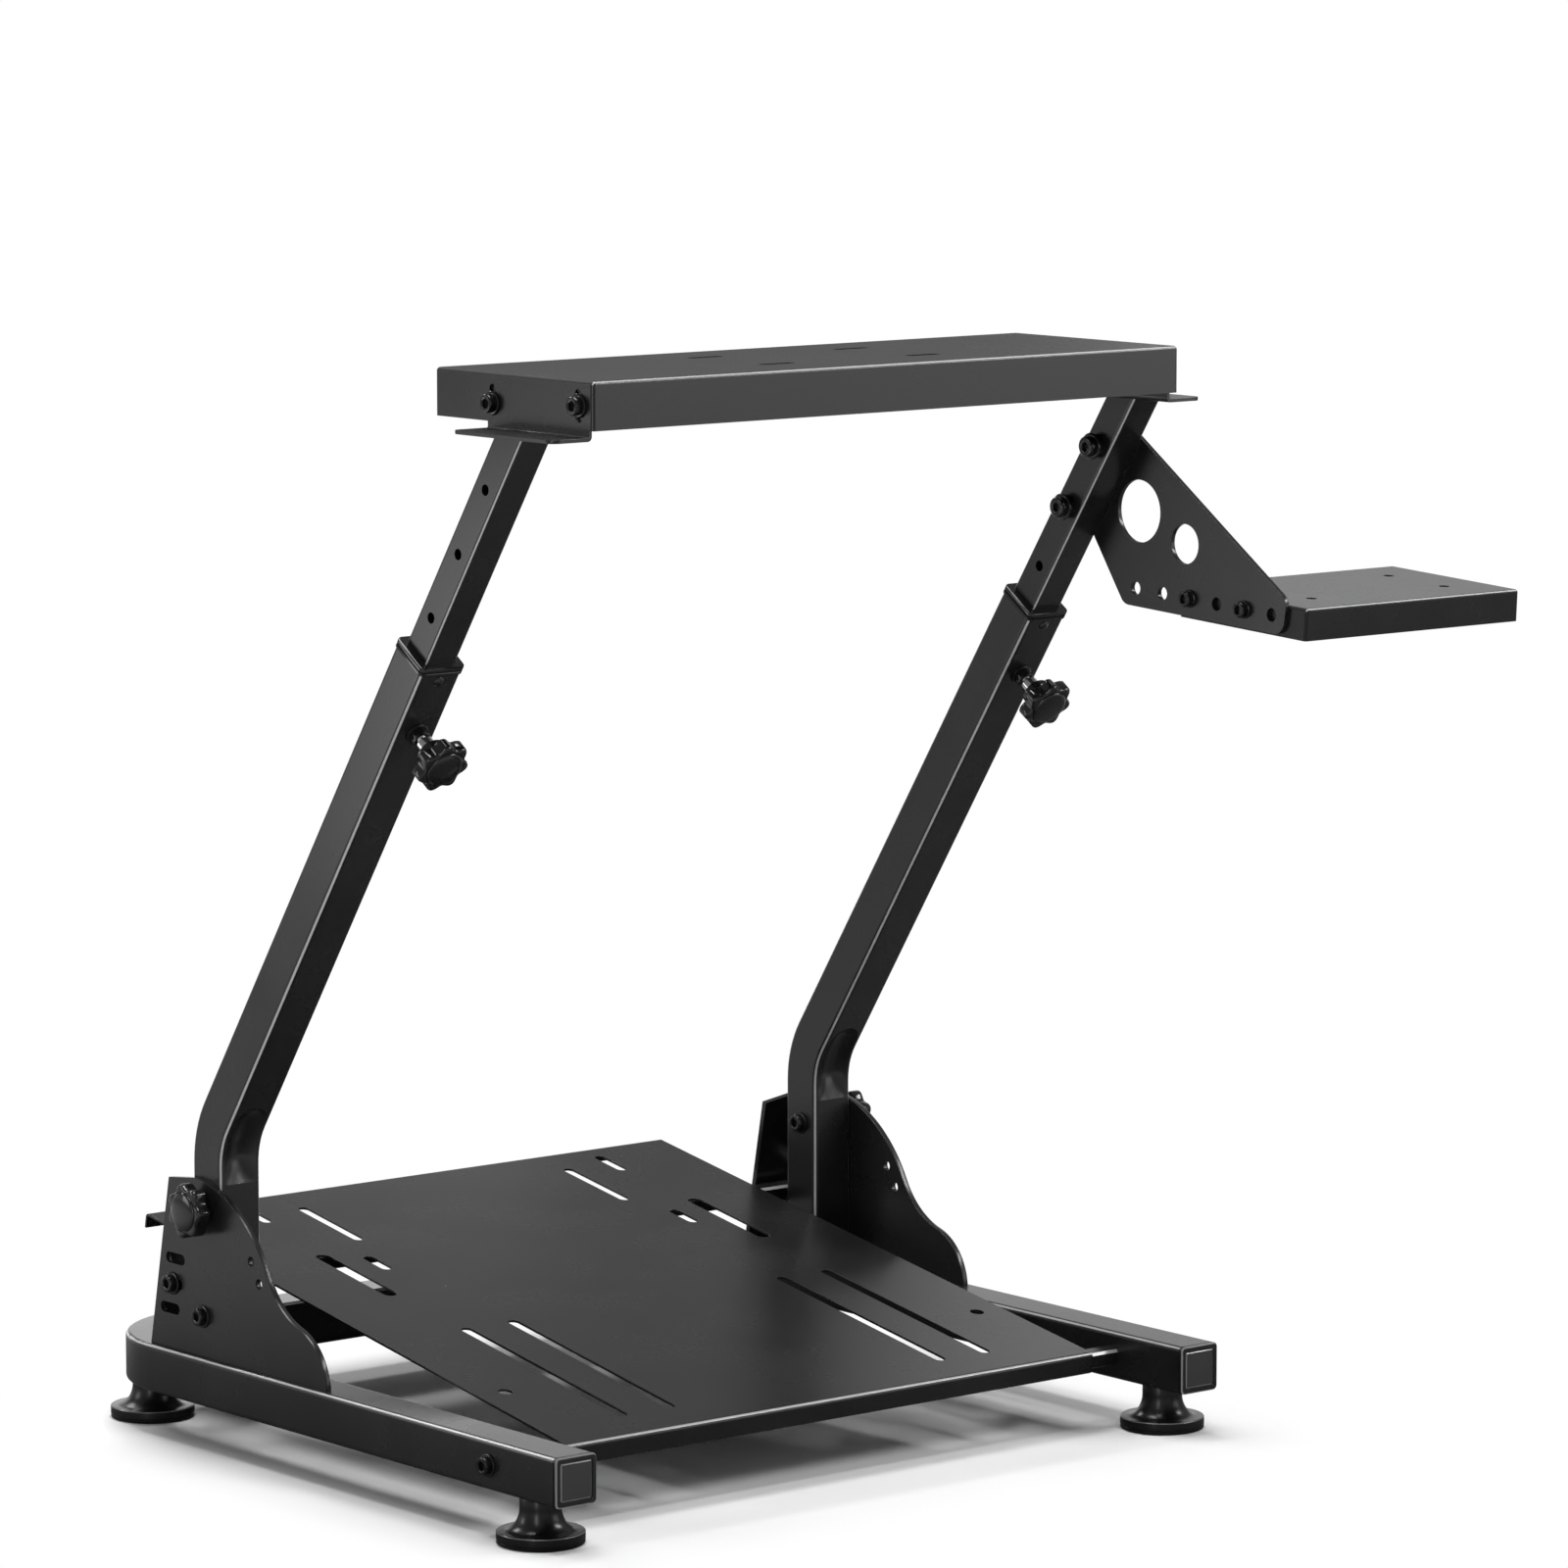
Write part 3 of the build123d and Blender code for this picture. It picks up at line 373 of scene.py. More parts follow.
def axis_place(origin, axis):
    """Place whose local Z runs along an axis."""
    turn = Vector(axis).normalized().to_track_quat("Z", "Y").to_matrix().to_4x4()
    return Matrix.Translation(Vector(origin)) @ turn


def along_and_out(points, place):
    """Height along a place's axis and distance from it, for each point."""
    back = place.inverted()
    local = [back @ p for p in points]
    return [(p.z, math.hypot(p.x, p.y)) for p in local]


def corners_of(node):
    """The points of a node's mesh."""
    return [v.co.copy() for v in nodes[node].data.vertices]


KNOB_LOBES = 7
LOBE_DEPTH = 4.2 * MM
HUB_MIN = 9 * MM
THREAD_PITCH = 1.25 * MM
THREAD_DEPTH = 0.6 * MM
FERRULE = 9.5 * MM
FERRULE_RADIUS = 7.2 * MM
DOME_SHARE = 0.7
DOME_STEPS = 7
DOME_SEAT = 0.2 * MM
WIDE_SHARE = 0.8


def thread(tip, base, size):
    """Rings of a threaded stud from its tip to its base."""
    root = size - THREAD_DEPTH
    rings = [(tip, 0), (tip, size - 0.9 * MM)]
    for i in range(int((base - tip) / THREAD_PITCH)):
        rings.append((tip + (i + 0.35) * THREAD_PITCH, root))
        rings.append((tip + (i + 0.85) * THREAD_PITCH, size))
    return rings + [(base, root), (base, 0)]


def detailed_knob(node, joint):
    """Lobed knob with a domed cap, and its threaded stud and sleeve where it has one."""
    place = axis_place(joints[joint]["pos_m"], joints[joint]["axis"])
    spots = along_and_out(corners_of(node), place)
    top = max(h for h, r in spots)
    foot = min(h for h, r in spots if r > HUB_MIN)
    radius = max(r for h, r in spots)
    wide = [h for h, r in spots if r > WIDE_SHARE * radius]
    under, over = min(wide), max(wide)
    hub = radius / 2
    if foot < under:
        hub = max(r for h, r in spots if foot - 2 * NEAR < h < under - 2 * NEAR)
    dome = radius * DOME_SHARE
    bm = bmesh.new()
    rings = [
        (foot, 0), (foot, hub - 0.8 * MM), (foot + 0.8 * MM, hub),
        (under - 0.3 * MM, hub * 0.97), (under, hub * 1.05),
        (under, star(radius - 3.0 * MM, KNOB_LOBES, LOBE_DEPTH * 0.8)),
        (under + 0.5 * MM, star(radius - 1.2 * MM, KNOB_LOBES, LOBE_DEPTH)),
        (under + 1.8 * MM, star(radius, KNOB_LOBES, LOBE_DEPTH)),
        (over - 2.4 * MM, star(radius, KNOB_LOBES, LOBE_DEPTH)),
        (over - 1.0 * MM, star(radius - 0.5 * MM, KNOB_LOBES, LOBE_DEPTH)),
        (over - 0.3 * MM, star(radius - 1.3 * MM, KNOB_LOBES, LOBE_DEPTH)),
        (over, star(radius - 2.6 * MM, KNOB_LOBES, LOBE_DEPTH * 0.9)),
        (over, dome + 0.9 * MM), (over - 0.6 * MM, dome + 0.5 * MM),
        (over - 0.6 * MM, dome + 0.1 * MM), (over + DOME_SEAT, dome - 0.1 * MM),
    ]
    rise = top - over - DOME_SEAT
    for i in range(1, DOME_STEPS):
        slope = math.pi / 2 * i / DOME_STEPS
        rings.append((over + DOME_SEAT + rise * math.sin(slope), dome * math.cos(slope)))
    rings.append((top, 0))
    lathe(bm, place, rings)
    finish_piece(node + "_detail", bm, plastic, node=node)
    stud = [r for h, r in spots if h < foot - 1 * MM]
    if not stud:
        return
    tip, size = min(h for h, r in spots), max(stud)
    bm = bmesh.new()
    lathe(bm, place, thread(tip, foot, size))
    sleeve = foot - FERRULE
    lathe(bm, place, [
        (sleeve, size), (sleeve, FERRULE_RADIUS - 0.6 * MM), (sleeve + 0.6 * MM, FERRULE_RADIUS),
        (foot - 0.5 * MM, FERRULE_RADIUS), (foot, FERRULE_RADIUS - 0.5 * MM), (foot, size),
    ])
    finish_piece(node + "_stud", bm, plated, body=body_of_node[node])


for side in ("left", "right"):
    detailed_knob(side + "_clamp_knob", side + "_clamp_turn")
    detailed_knob(side + "_lock_knob", side + "_lock_turn")


BOSS_FLAT = 0.82


def detailed_boss(node, joint):
    """Weld nut on a leg: a round flange, and a hexagon with its top corners turned off."""
    place = axis_place(joints[joint]["pos_m"], joints[joint]["axis"])
    spots = along_and_out(corners_of(node), place)
    low, high = min(h for h, r in spots), max(h for h, r in spots)
    radius, bore = max(r for h, r in spots), min(r for h, r in spots)
    flat = radius * BOSS_FLAT
    bm = bmesh.new()
    lathe(bm, place, [
        (low, bore), (low, radius + 1.0 * MM), (low + 1.6 * MM, radius + 1.0 * MM),
        (low + 2.2 * MM, radius + 0.4 * MM), (low + 2.4 * MM, flat * 1.16),
        (low + 2.5 * MM, hexagon(flat)), (high - 1.0 * MM, hexagon(flat, flat * 1.14)),
        (high, flat * 0.98), (high, bore + 0.8 * MM), (high - 0.8 * MM, bore), (low, bore),
    ])
    bmesh.ops.remove_doubles(bm, verts=bm.verts, dist=SAME)
    finish_piece(node + "_detail", bm, oxide, node=node)


CORNER_STEPS = 6
CORNER_MIN = 0.4 * MM


def squared(bm, place, rings, corner, flat):
    """Join rings of (height, half width) of rounded squares.

    Their corners have the radius corner where the half width is flat.
    """
    loops = []
    for height, half in rings:
        turn = max(corner + half - flat, CORNER_MIN)
        inner = half - turn
        loop = []
        for quarter, (x, y) in enumerate(((1, 1), (-1, 1), (-1, -1), (1, -1))):
            for i in range(CORNER_STEPS + 1):
                angle = math.pi / 2 * (quarter + i / CORNER_STEPS)
                across = x * inner + turn * math.cos(angle)
                along = y * inner + turn * math.sin(angle)
                loop.append(bm.verts.new(place @ Vector((across, along, height))))
        loops.append(loop)
    for low, high in zip(loops, loops[1:]):
        for i in range(len(low)):
            k = (i + 1) % len(low)
            bm.faces.new((low[i], low[k], high[k], high[i]))
    return loops


TUBE_CORNER = 4.0 * MM
SKIRT = 3.4 * MM
SNAP_DROP = 10.0 * MM
SNAP_RADIUS = 4.8 * MM


def detailed_collar(node, leg):
    """Collar on a leg: skirt, groove and rounded flange, and the snap button that holds it."""
    up = Vector(joints["height_slide"]["axis"]).normalized()
    up = -up if up.z < 0 else up
    back = up.cross(Vector((1, 0, 0)))
    turn = Matrix(((1, back.x, up.x), (0, back.y, up.y), (0, back.z, up.z)))
    local = [turn.transposed() @ v.co for v in nodes[node].data.vertices]
    top = max(p.z for p in local)
    face = [p for p in local if p.z > top - NEAR]
    middle = Vector((0.0, 0.0, 0.0))
    for i in (0, 1):
        middle[i] = (min(p[i] for p in face) + max(p[i] for p in face)) / 2
    wide = max(abs(p.x - middle.x) for p in local)
    seat = min(p.z for p in local if abs(p.x - middle.x) > wide - NEAR)
    bore = min(max(abs(p.x - middle.x), abs(p.y - middle.y)) for p in face)
    low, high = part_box(leg)
    tube = (high[0] - low[0]) / 2
    place = Matrix.Translation(turn @ (middle + Vector((0, 0, seat)))) @ turn.to_4x4()
    flange = top - seat
    inside = tube + 0.02 * MM
    rings = [
        (-SKIRT, inside), (-SKIRT, wide - 0.5 * MM), (-SKIRT + 0.4 * MM, wide), (-1.0 * MM, wide),
        (-0.6 * MM, wide - 0.35 * MM), (-0.5 * MM, tube + 0.2 * MM), (0.1 * MM, tube + 0.2 * MM),
        (0.2 * MM, wide - 0.35 * MM), (0.6 * MM, wide), (flange - 0.9 * MM, wide),
        (flange - 0.3 * MM, wide - 0.25 * MM), (flange, wide - 0.9 * MM),
        (flange, wide - 1.1 * MM), (flange, bore + 0.5 * MM), (flange, bore + 0.3 * MM),
        (flange - 0.3 * MM, bore), (0.05 * MM, bore), (0.05 * MM, inside), (-SKIRT, inside),
    ]
    bm = bmesh.new()
    squared(bm, place, rings, TUBE_CORNER, tube)
    bmesh.ops.remove_doubles(bm, verts=bm.verts, dist=SAME)
    button = axis_place(place @ Vector((0, -tube, -SNAP_DROP)), -back)
    lathe(bm, button, [
        (-0.5 * MM, 0), (-0.5 * MM, SNAP_RADIUS), (0.3 * MM, SNAP_RADIUS),
        (0.9 * MM, SNAP_RADIUS * 0.86), (1.6 * MM, SNAP_RADIUS * 0.6),
        (2.0 * MM, SNAP_RADIUS * 0.3), (2.1 * MM, 0),
    ])
    finish_piece(node + "_detail", bm, plastic, node=node)


def detailed_cap(node):
    """Moulded cap of a rail: a flange with a rounded edge, a groove and a grained panel."""
    low, high = (Vector(corner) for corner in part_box(node))
    half = (high.x - low.x) / 2
    place = axis_place(((low.x + high.x) / 2, low.y, (low.z + high.z) / 2), (0, -1, 0))
    middle = place.translation.x
    flange = [p.y for p in corners_of(node) if abs(p.x - middle) > half - NEAR]
    back = low.y - max(flange)
    rings = [
        (back, CAP_PANEL), (back, half - 0.8 * MM), (back + 0.7 * MM, half - 0.8 * MM),
        (back + 0.8 * MM, half - 0.2 * MM), (back + 1.0 * MM, half), (-1.1 * MM, half),
        (-1.0 * MM, half - 0.1 * MM), (-0.1 * MM, half - 1.0 * MM), (0, half - 1.1 * MM),
        (0, CAP_PANEL + 2.2 * MM), (-0.9 * MM, CAP_PANEL + 1.8 * MM),
        (-0.9 * MM, CAP_PANEL + 1.0 * MM), (-0.1 * MM, CAP_PANEL + 0.2 * MM), (0, CAP_PANEL),
        (0, CAP_PANEL - 0.4 * MM),
    ]
    bm = bmesh.new()
    loops = squared(bm, place, rings, TUBE_CORNER, half)
    bm.faces.new(loops[0])
    bm.faces.new(loops[-1])
    finish_piece(node + "_detail", bm, cap_plastic, node=node)


for side in ("left", "right"):
    detailed_boss(side + "_clamp_boss", side + "_clamp_turn")
    detailed_collar(side + "_collar", side + "_leg")
    detailed_cap(side + "_rail_cap")


GROOVE_FOOT = 221.0 * MM
GROOVE_WIDTH = 31.0 * MM
GROOVE_DEPTH = 7.0 * MM
RAMP_LENGTH = 26.0 * MM
BEND_FOOT = 235.73 * MM
BEND_INSIDE = 55.0 * MM
RAMP_ROWS = 12
RAMP_COLUMNS = 20
RAMP_LIP = 0.4 * MM
RAMP_PROUD = 0.05 * MM
RAMP_THICK = 1.5 * MM


def groove_end(leg):
    """Lower end of a leg's pressed groove, which runs out to the face in a hollow curve."""
    face = min(p.y for p in corners_of(leg) if p.z < GROOVE_FOOT - RAMP_LENGTH)
    low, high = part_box(leg)
    middle = (low[0] + high[0]) / 2
    bm = bmesh.new()
    layers = []
    for behind in (0.0, RAMP_THICK):
        rows = []
        for i in range(RAMP_ROWS + 1):
            share = i / RAMP_ROWS
            height = GROOVE_FOOT + share * RAMP_LENGTH
            into_bend = max(height - BEND_FOOT, 0.0)
            run_out = math.sin(math.pi / 2 * share)
            depth = RAMP_LIP + (GROOVE_DEPTH - RAMP_LIP) * run_out - RAMP_PROUD
            radius = ((GROOVE_WIDTH / 2) ** 2 + depth ** 2) / (2 * depth)
            row = []
            for k in range(RAMP_COLUMNS + 1):
                aside = GROOVE_WIDTH * (k / RAMP_COLUMNS - 0.5)
                inward = math.sqrt(radius ** 2 - aside ** 2) - radius + depth
                bent = BEND_INSIDE + inward
                inward -= bent - math.sqrt(bent ** 2 - into_bend ** 2)
                row.append(bm.verts.new((middle + aside, face + inward + behind, height)))
            rows.append(row)
        layers.append(rows)
    front, rear = layers
    for rows in layers:
        for under, over in zip(rows, rows[1:]):
            for k in range(RAMP_COLUMNS):
                bm.faces.new((under[k], under[k + 1], over[k + 1], over[k]))
    rims = [(front[0], rear[0]), (front[-1], rear[-1])]
    rims += [([row[k] for row in front], [row[k] for row in rear]) for k in (0, -1)]
    for near, far in rims:
        for i in range(len(near) - 1):
            bm.faces.new((near[i], near[i + 1], far[i + 1], far[i]))
    finish_piece(leg + "_groove_end", bm, plain_coat, body=body_of_node[leg])


for side in ("left", "right"):
    groove_end(side + "_leg")


PAD_HEIGHT = 3.2 * MM
PAD_GROOVE = 0.4 * MM
RIM_ROLL = 1.1 * MM
RIM_STEPS = 6
FLARE_STEPS = 12
# Bands of rings on the rolled rim that take a painted highlight
FOOT_HIGHLIGHT_BANDS = (9, 10, 11)


def detailed_foot(node):
    """Levelling foot with a pad, a rolled rim and a trumpet-shaped neck, and its threaded stud."""
    low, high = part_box(node)
    place = Matrix.Translation(((low[0] + high[0]) / 2, (low[1] + high[1]) / 2, low[2]))
    spots = along_and_out(corners_of(node), place)
    edge = max(r for h, r in spots)
    disc = max(h for h, r in spots if r > WIDE_SHARE * edge)
    stud_top = max(h for h, r in spots)
    stud = max(r for h, r in spots if h > stud_top - NEAR)
    neck_top = max(h for h, r in spots if r > 2 * stud)
    neck = max(r for h, r in spots if h > neck_top - NEAR)
    flare_top = min(h for h, r in spots if abs(r - neck) < NEAR)
    shoulder = min(r for h, r in spots if abs(h - disc) < NEAR and r > neck)
    pad = edge - 0.1 * MM
    rings = [
        (0, 0), (0, edge - 1.2 * MM), (0.4 * MM, edge - 0.4 * MM), (1.0 * MM, pad),
        (PAD_HEIGHT - PAD_GROOVE, pad), (PAD_HEIGHT - 0.1 * MM, pad - PAD_GROOVE),
        (PAD_HEIGHT + 0.1 * MM, pad - PAD_GROOVE), (PAD_HEIGHT + PAD_GROOVE, edge),
    ]
    for i in range(RIM_STEPS + 1):
        turn = math.pi / 2 * i / RIM_STEPS
        rings.append((disc - RIM_ROLL * (1 - math.sin(turn)), edge - RIM_ROLL * (1 - math.cos(turn))))
    for i in range(FLARE_STEPS + 1):
        turn = math.pi / 2 * i / FLARE_STEPS
        height = disc + (flare_top - disc) * (1 - math.cos(turn))
        rings.append((height, shoulder - (shoulder - neck) * math.sin(turn)))
    rings += [
        (neck_top - 1.0 * MM, neck), (neck_top - 0.3 * MM, neck - 0.3 * MM),
        (neck_top, neck - 1.0 * MM), (neck_top, 0),
    ]
    bm = bmesh.new()
    lathe(bm, place, rings)
    finish_piece(node + "_detail", bm, rubber, node=node, highlight_bands=FOOT_HIGHLIGHT_BANDS)
    bm = bmesh.new()
    lathe(bm, place, thread(neck_top - 0.5 * MM, stud_top, stud))
    finish_piece(node + "_stud", bm, oxide, body=body_of_node[node])


for entry in record["subparts"]:
    if entry["material_slot"] == "foot_rubber":
        detailed_foot(entry["node"])


WELD_GAP = 0.01 * MM


def islands(node):
    """Points of each separate solid in a node, in the order of the mesh."""
    bm = bmesh.new()
    bm.from_mesh(nodes[node].data)
    bmesh.ops.remove_doubles(bm, verts=bm.verts, dist=WELD_GAP)
    met = set()
    found = []
    for first in bm.verts:
        if first in met:
            continue
        met.add(first)
        queue = [first]
        points = []
        while queue:
            vert = queue.pop()
            points.append(vert.co.copy())
            for edge in vert.link_edges:
                other = edge.other_vert(vert)
                if other not in met:
                    met.add(other)
                    queue.append(other)
        found.append(points)
    bm.free()
    return found


WASHER_MIN = 7.9 * MM
NUT_MIN = 5.0 * MM
SOCKET_HALF = 3.5 * MM
SOCKET_DEEP = 3.0 * MM
SPACER_MIN = 3.0 * MM
HEAD_SHARE = 1.12
SPACED_SHARE = 1.3


def detailed_screw(bm, points, small):
    """Socket-head screw with washer and, where the solid has one, a nut, on the solid's own places.

    One that stands off on a spacer has a larger head, and a small one a washer hardly wider than
    its head.
    """
    xs, ys, zs = ([p[i] for p in points] for i in range(3))
    y, z = (min(ys) + max(ys)) / 2, (min(zs) + max(zs)) / 2
    washer = [p.x for p in points if math.hypot(p.y - y, p.z - z) > WASHER_MIN]
    way = 1 if max(xs) - max(washer) < min(washer) - min(xs) else -1
    seat = min(washer) if way > 0 else max(washer)
    place = axis_place((seat, y, z), (way, 0, 0))
    spots = along_and_out(points, place)
    wide = max(r for h, r in spots)
    rise = max(h for h, r in spots if r > WASHER_MIN)
    top = max(h for h, r in spots)
    head = max(r for h, r in spots if h > rise + 0.5 * MM)
    share = SPACED_SHARE if rise > SPACER_MIN else HEAD_SHARE
    if small and rise < SPACER_MIN:
        share = 1.0
        wide = head + 1.0 * MM
    wide, head = wide * share, head * share
    end = min(h for h, r in spots)
    shank = max(r for h, r in spots if h < 0 and r < NUT_MIN)
    nut = [h for h, r in spots if h < -NEAR and r > NUT_MIN]
    tip = end - 2.0 * MM if nut else end
    rings = [(tip, 0), (tip, shank - 0.7 * MM), (tip + 0.7 * MM, shank)]
    if nut:
        low, high = min(nut), max(nut)
        flat = head / share
        sides = hexagon(flat, flat * 1.12)
        rings += [
            (low, shank), (low, flat * 0.97), (low + 0.9 * MM, sides), (high - 0.3 * MM, sides),
            (high, flat * 1.02), (high, shank),
        ]
    rings += [(-0.05 * MM, shank)]
    foot = 0
    if rise > SPACER_MIN:
        foot = rise - 1.6 * MM
        rings += [(0, shank), (0, wide - 1.2 * MM), (foot - 0.05 * MM, wide - 1.2 * MM)]
    rings += [
        (foot, wide - 1.3 * MM), (foot, wide - 0.3 * MM), (foot + 0.3 * MM, wide),
        (rise - 0.5 * MM, wide), (rise - 0.1 * MM, wide - 0.5 * MM), (rise, head + 0.5 * MM),
        (rise + 0.1 * MM, head - 0.2 * MM), (rise + 0.4 * MM, head),
        (top - 1.1 * MM, head), (top - 0.4 * MM, head - 0.3 * MM), (top, head - 1.0 * MM),
        (top, SOCKET_HALF * 1.32), (top - 0.5 * MM, hexagon(SOCKET_HALF)),
        (top - SOCKET_DEEP, hexagon(SOCKET_HALF)), (top - SOCKET_DEEP * 1.2, 0),
    ]
    lathe(bm, place, rings)


for entry in record["subparts"]:
    if entry["material_slot"] == "black_screws":
        bm = bmesh.new()
        for points in islands(entry["node"]):
            detailed_screw(bm, points, small=entry["node"] == "shifter_bolts")
        finish_piece(entry["node"] + "_detail", bm, oxide, node=entry["node"])


# Folded sheet and cut plate

FLAT_ANGLE = math.radians(0.5)
EASED_ANGLE = math.radians(50)


def ease_edges(node, width):
    """Round the sharp edges of a plate, as a coat of paint leaves them."""
    weld = node.modifiers.new("weld", "WELD")
    weld.merge_threshold = WELD_GAP
    flat = node.modifiers.new("flat", "DECIMATE")
    flat.decimate_type = "DISSOLVE"
    flat.angle_limit = FLAT_ANGLE
    bevel = node.modifiers.new("bevel", "BEVEL")
    bevel.width = width
    bevel.segments = 2
    bevel.limit_method = "ANGLE"
    bevel.angle_limit = EASED_ANGLE


EASED = {
    "pedal_plate": 0.5, "left_bracket": 0.8, "right_bracket": 0.8, "shifter_bracket": 0.7,
    "left_deck_bracket": 0.7, "right_deck_bracket": 0.7,
}
for name, width in EASED.items():
    ease_edges(nodes[name], width * MM)
# Keeps the plate's broad face even between its bends
nodes["pedal_plate"].modifiers.new("shading", "WEIGHTED_NORMAL")


# Floor, light and camera

def mirrored_ray(tree, path):
    """1 for a ray that a surface mirrors or lets through."""
    return mathed(tree, "MAXIMUM", path.outputs["Is Glossy Ray"], path.outputs["Is Transmission Ray"])


FLOOR_REACH = 30.0
FLOOR_DROP = 0.4 * MM
# Floor colour to the eye and to light, and a painted dark shade as other surfaces mirror it
FLOOR_TONE, FLOOR_SHADE_MIRRORED = 0.9, 0.12
# Metres from the base where the floor turns white to the eye; as other surfaces mirror it, the floor
# goes from a painted dark shade near the base to pale, dimmer again far off, and stays dark further
# out on the right
WHITE_FROM = 0.1
MIRROR_NEAR, MIRROR_FULL, MIRROR_SHARE = 0.1, 0.65, 0.62
FAR_NEAR, FAR_FULL, FAR_SHARE = 1.2, 2.6, 0.55
RIGHT_BLEND, RIGHT_SHIFT = 0.25, 0.8

floor_mesh = bpy.data.meshes.new("floor")
signs = ((-1, -1), (1, -1), (1, 1), (-1, 1))
floor_corners = [(x * FLOOR_REACH, y * FLOOR_REACH, 0) for x, y in signs]
floor_mesh.from_pydata(floor_corners, [], [(0, 1, 2, 3)])
floor = bpy.data.objects.new("floor", floor_mesh)
scene.collection.objects.link(floor)
floor.location.z = -FLOOR_DROP
pale = bpy.data.materials.new("floor")
pale.use_nodes = True
tree = pale.node_tree
link = tree.links.new
ground = tree.nodes["Principled BSDF"]
socket(ground, "Roughness", 0.9)
socket(ground, "Specular IOR Level", 0.0)
glow = tree.nodes.new("ShaderNodeEmission")
socket(glow, "Color", WHITE)
socket(glow, "Strength", 1.0)
mix = tree.nodes.new("ShaderNodeMixShader")
path = tree.nodes.new("ShaderNodeLightPath")
where = tree.nodes.new("ShaderNodeTexCoord")
base_low, base_high = (Vector(corner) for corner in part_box("base_frame"))
base_half = (base_high - base_low) / 2
floor.location.x, floor.location.y = ((base_low + base_high) / 2).xy
spot = parted(tree, where.outputs["Object"])
outside = []
for axis, half in (("X", base_half.x), ("Y", base_half.y)):
    past = mathed(tree, "SUBTRACT", mathed(tree, "ABSOLUTE", spot[axis], 0.0), half)
    past = mathed(tree, "MAXIMUM", past, 0.0)
    outside.append(mathed(tree, "MULTIPLY", past, past))
distance = mathed(tree, "SQRT", mathed(tree, "ADD", *outside), 0.0)
mirrored = mirrored_ray(tree, path)
seen = mathed(tree, "MAXIMUM", path.outputs["Is Camera Ray"], mirrored)
rightward = ramp(tree, spot["X"], base_half.x, base_half.x + RIGHT_BLEND, 0.0, RIGHT_SHIFT)
apart = mathed(tree, "SUBTRACT", distance, rightward)
far_off = ramp(tree, apart, FAR_NEAR, FAR_FULL, 1.0, FAR_SHARE)
shine = ramp(tree, apart, MIRROR_NEAR, MIRROR_FULL, 0.0, MIRROR_SHARE)
shine = mathed(tree, "MULTIPLY", shine, far_off)
# As mirrored, the floor's glow is a painted reflection: none near the base, paler further off, dimmer
# again far away
share = choose(tree, mirrored, ramp(tree, distance, 0.0, WHITE_FROM, 0.0, 1.0), shine)
link(mathed(tree, "MULTIPLY", seen, share), mix.inputs["Fac"])
# Painted shade: as mirrored, the floor has a dark base colour
link(choose(tree, mirrored, FLOOR_TONE, FLOOR_SHADE_MIRRORED), ground.inputs["Base Color"])
link(ground.outputs["BSDF"], mix.inputs[1])
link(glow.outputs["Emission"], mix.inputs[2])
link(mix.outputs["Shader"], tree.nodes["Material Output"].inputs["Surface"])
floor_mesh.materials.append(pale)

# Strength of the world: for diffuse light, and as mirrored low on the left and right, and high up
WORLD_LIGHT = 0.13
HAZE_LEFT, HAZE_RIGHT, HAZE_HIGH = 0.46, 0.2, 0.26
HAZE_X = -0.3, 0.4
HAZE_Z = 0.14, 0.36

world = bpy.data.worlds.new("studio")
scene.world = world
world.use_nodes = True
tree = world.node_tree
sky = tree.nodes["Background"]
path = tree.nodes.new("ShaderNodeLightPath")
where = tree.nodes.new("ShaderNodeTexCoord")
way = parted(tree, where.outputs["Generated"])
low_haze = ramp(tree, way["X"], *HAZE_X, HAZE_LEFT, HAZE_RIGHT)
haze = choose(tree, ramp(tree, way["Z"], *HAZE_Z, 0.0, 1.0), low_haze, HAZE_HIGH)
level = choose(tree, mirrored_ray(tree, path), WORLD_LIGHT, haze)
level = choose(tree, path.outputs["Is Camera Ray"], level, 1.0)
tree.links.new(level, sky.inputs["Strength"])
socket(sky, "Color", WHITE)


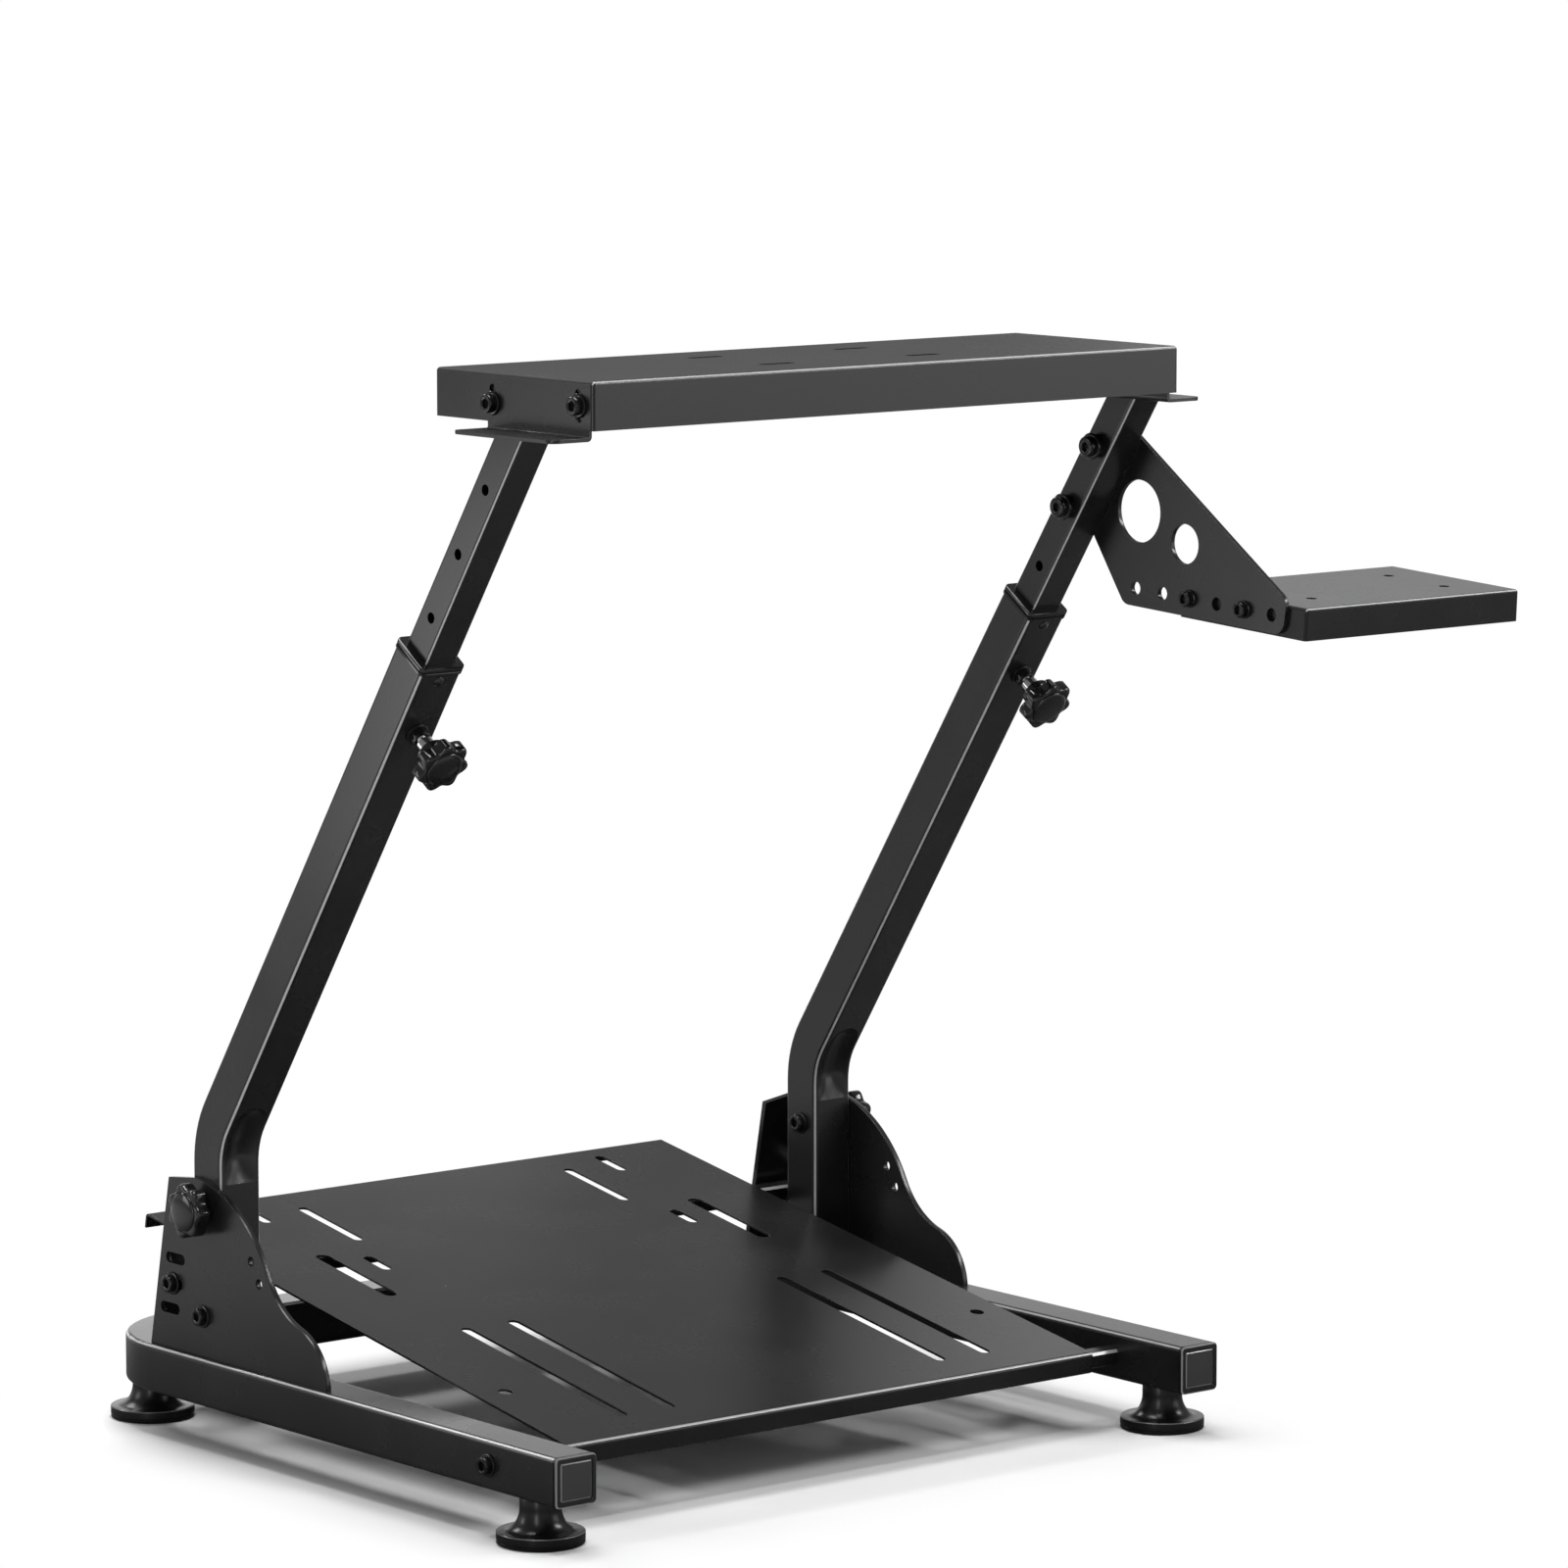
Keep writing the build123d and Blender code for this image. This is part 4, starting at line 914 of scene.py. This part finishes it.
def softbox(name, place, aim, size, radiance):
    """Rectangular lamp at a place, pointing at another, of a given brightness to the eye."""
    lamp = bpy.data.lights.new(name, "AREA")
    lamp.shape = "RECTANGLE"
    lamp.size, lamp.size_y = size
    lamp.energy = radiance * math.pi * size[0] * size[1]
    made = bpy.data.objects.new(name, lamp)
    scene.collection.objects.link(made)
    made.location = place
    made.rotation_mode = "QUATERNION"
    made.rotation_quaternion = (Vector(aim) - Vector(place)).to_track_quat("-Z", "Y")
    made.visible_camera = False


# Place, aim, size and brightness; 1 is white
LAMPS = {
    "top_box": ((0.0, 0.1, 3.2), (0.0, 0.0, 0.0), (1.8, 1.8), 10.0),
    "back_strip": ((-0.6, 3.2, 2.7), (0.0, 0.0, 0.5), (2.2, 0.4), 16.0),
    "right_strip": ((2.1, -2.0, 2.25), (0.0, 0.0, 0.5), (2.0, 0.45), 18.0),
    "left_strip": ((-3.0, -1.8, 1.2), (0.0, 0.0, 0.5), (0.4, 2.4), 6.0),
    "back_left_panel": ((-1.49, 0.94, 0.46), (-0.4, 0.0, 0.55), (0.5, 0.44), 3.0),
    "back_left_high": ((-2.3, 1.8, 1.05), (-0.4, 0.1, 0.3), (0.35, 0.3), 5.0),
    "left_rail_wall": ((0.75, 1.75, 0.5), (-0.4, 0.1, 0.12), (0.7, 0.6), 0.7),
    "low_back_wall": ((0.95, 1.75, 0.3), (0.0, 0.0, 0.2), (3.2, 0.5), 1.0),
    "front_right_wall": ((3.6, -4.2, 1.1), (0.0, 0.0, 0.6), (3.2, 1.6), 1.7),
    "back_right_wall": ((3.4, 2.3, 1.9), (0.0, 0.0, 0.3), (1.4, 0.9), 1.0),
}
for name, lamp in LAMPS.items():
    softbox(name, *lamp)


# Fitted to the photo
CAMERA_PLACE = (-3.79283, -4.64706, 1.32608)
YAW, PITCH, ROLL = math.radians(39.2222), math.radians(7.5184), math.radians(0.0341)
SENSOR, LENS = 36.0, 167.756

camera = bpy.data.objects.new("camera", bpy.data.cameras.new("camera"))
scene.collection.objects.link(camera)
camera.data.sensor_width = SENSOR
camera.data.lens = LENS
camera.data.clip_end = 100.0
camera.location = CAMERA_PLACE
camera.rotation_mode = "XYZ"
camera.rotation_euler = (math.pi / 2 - PITCH, ROLL, -YAW)
scene.camera = camera
scene.view_settings.view_transform = "Standard"
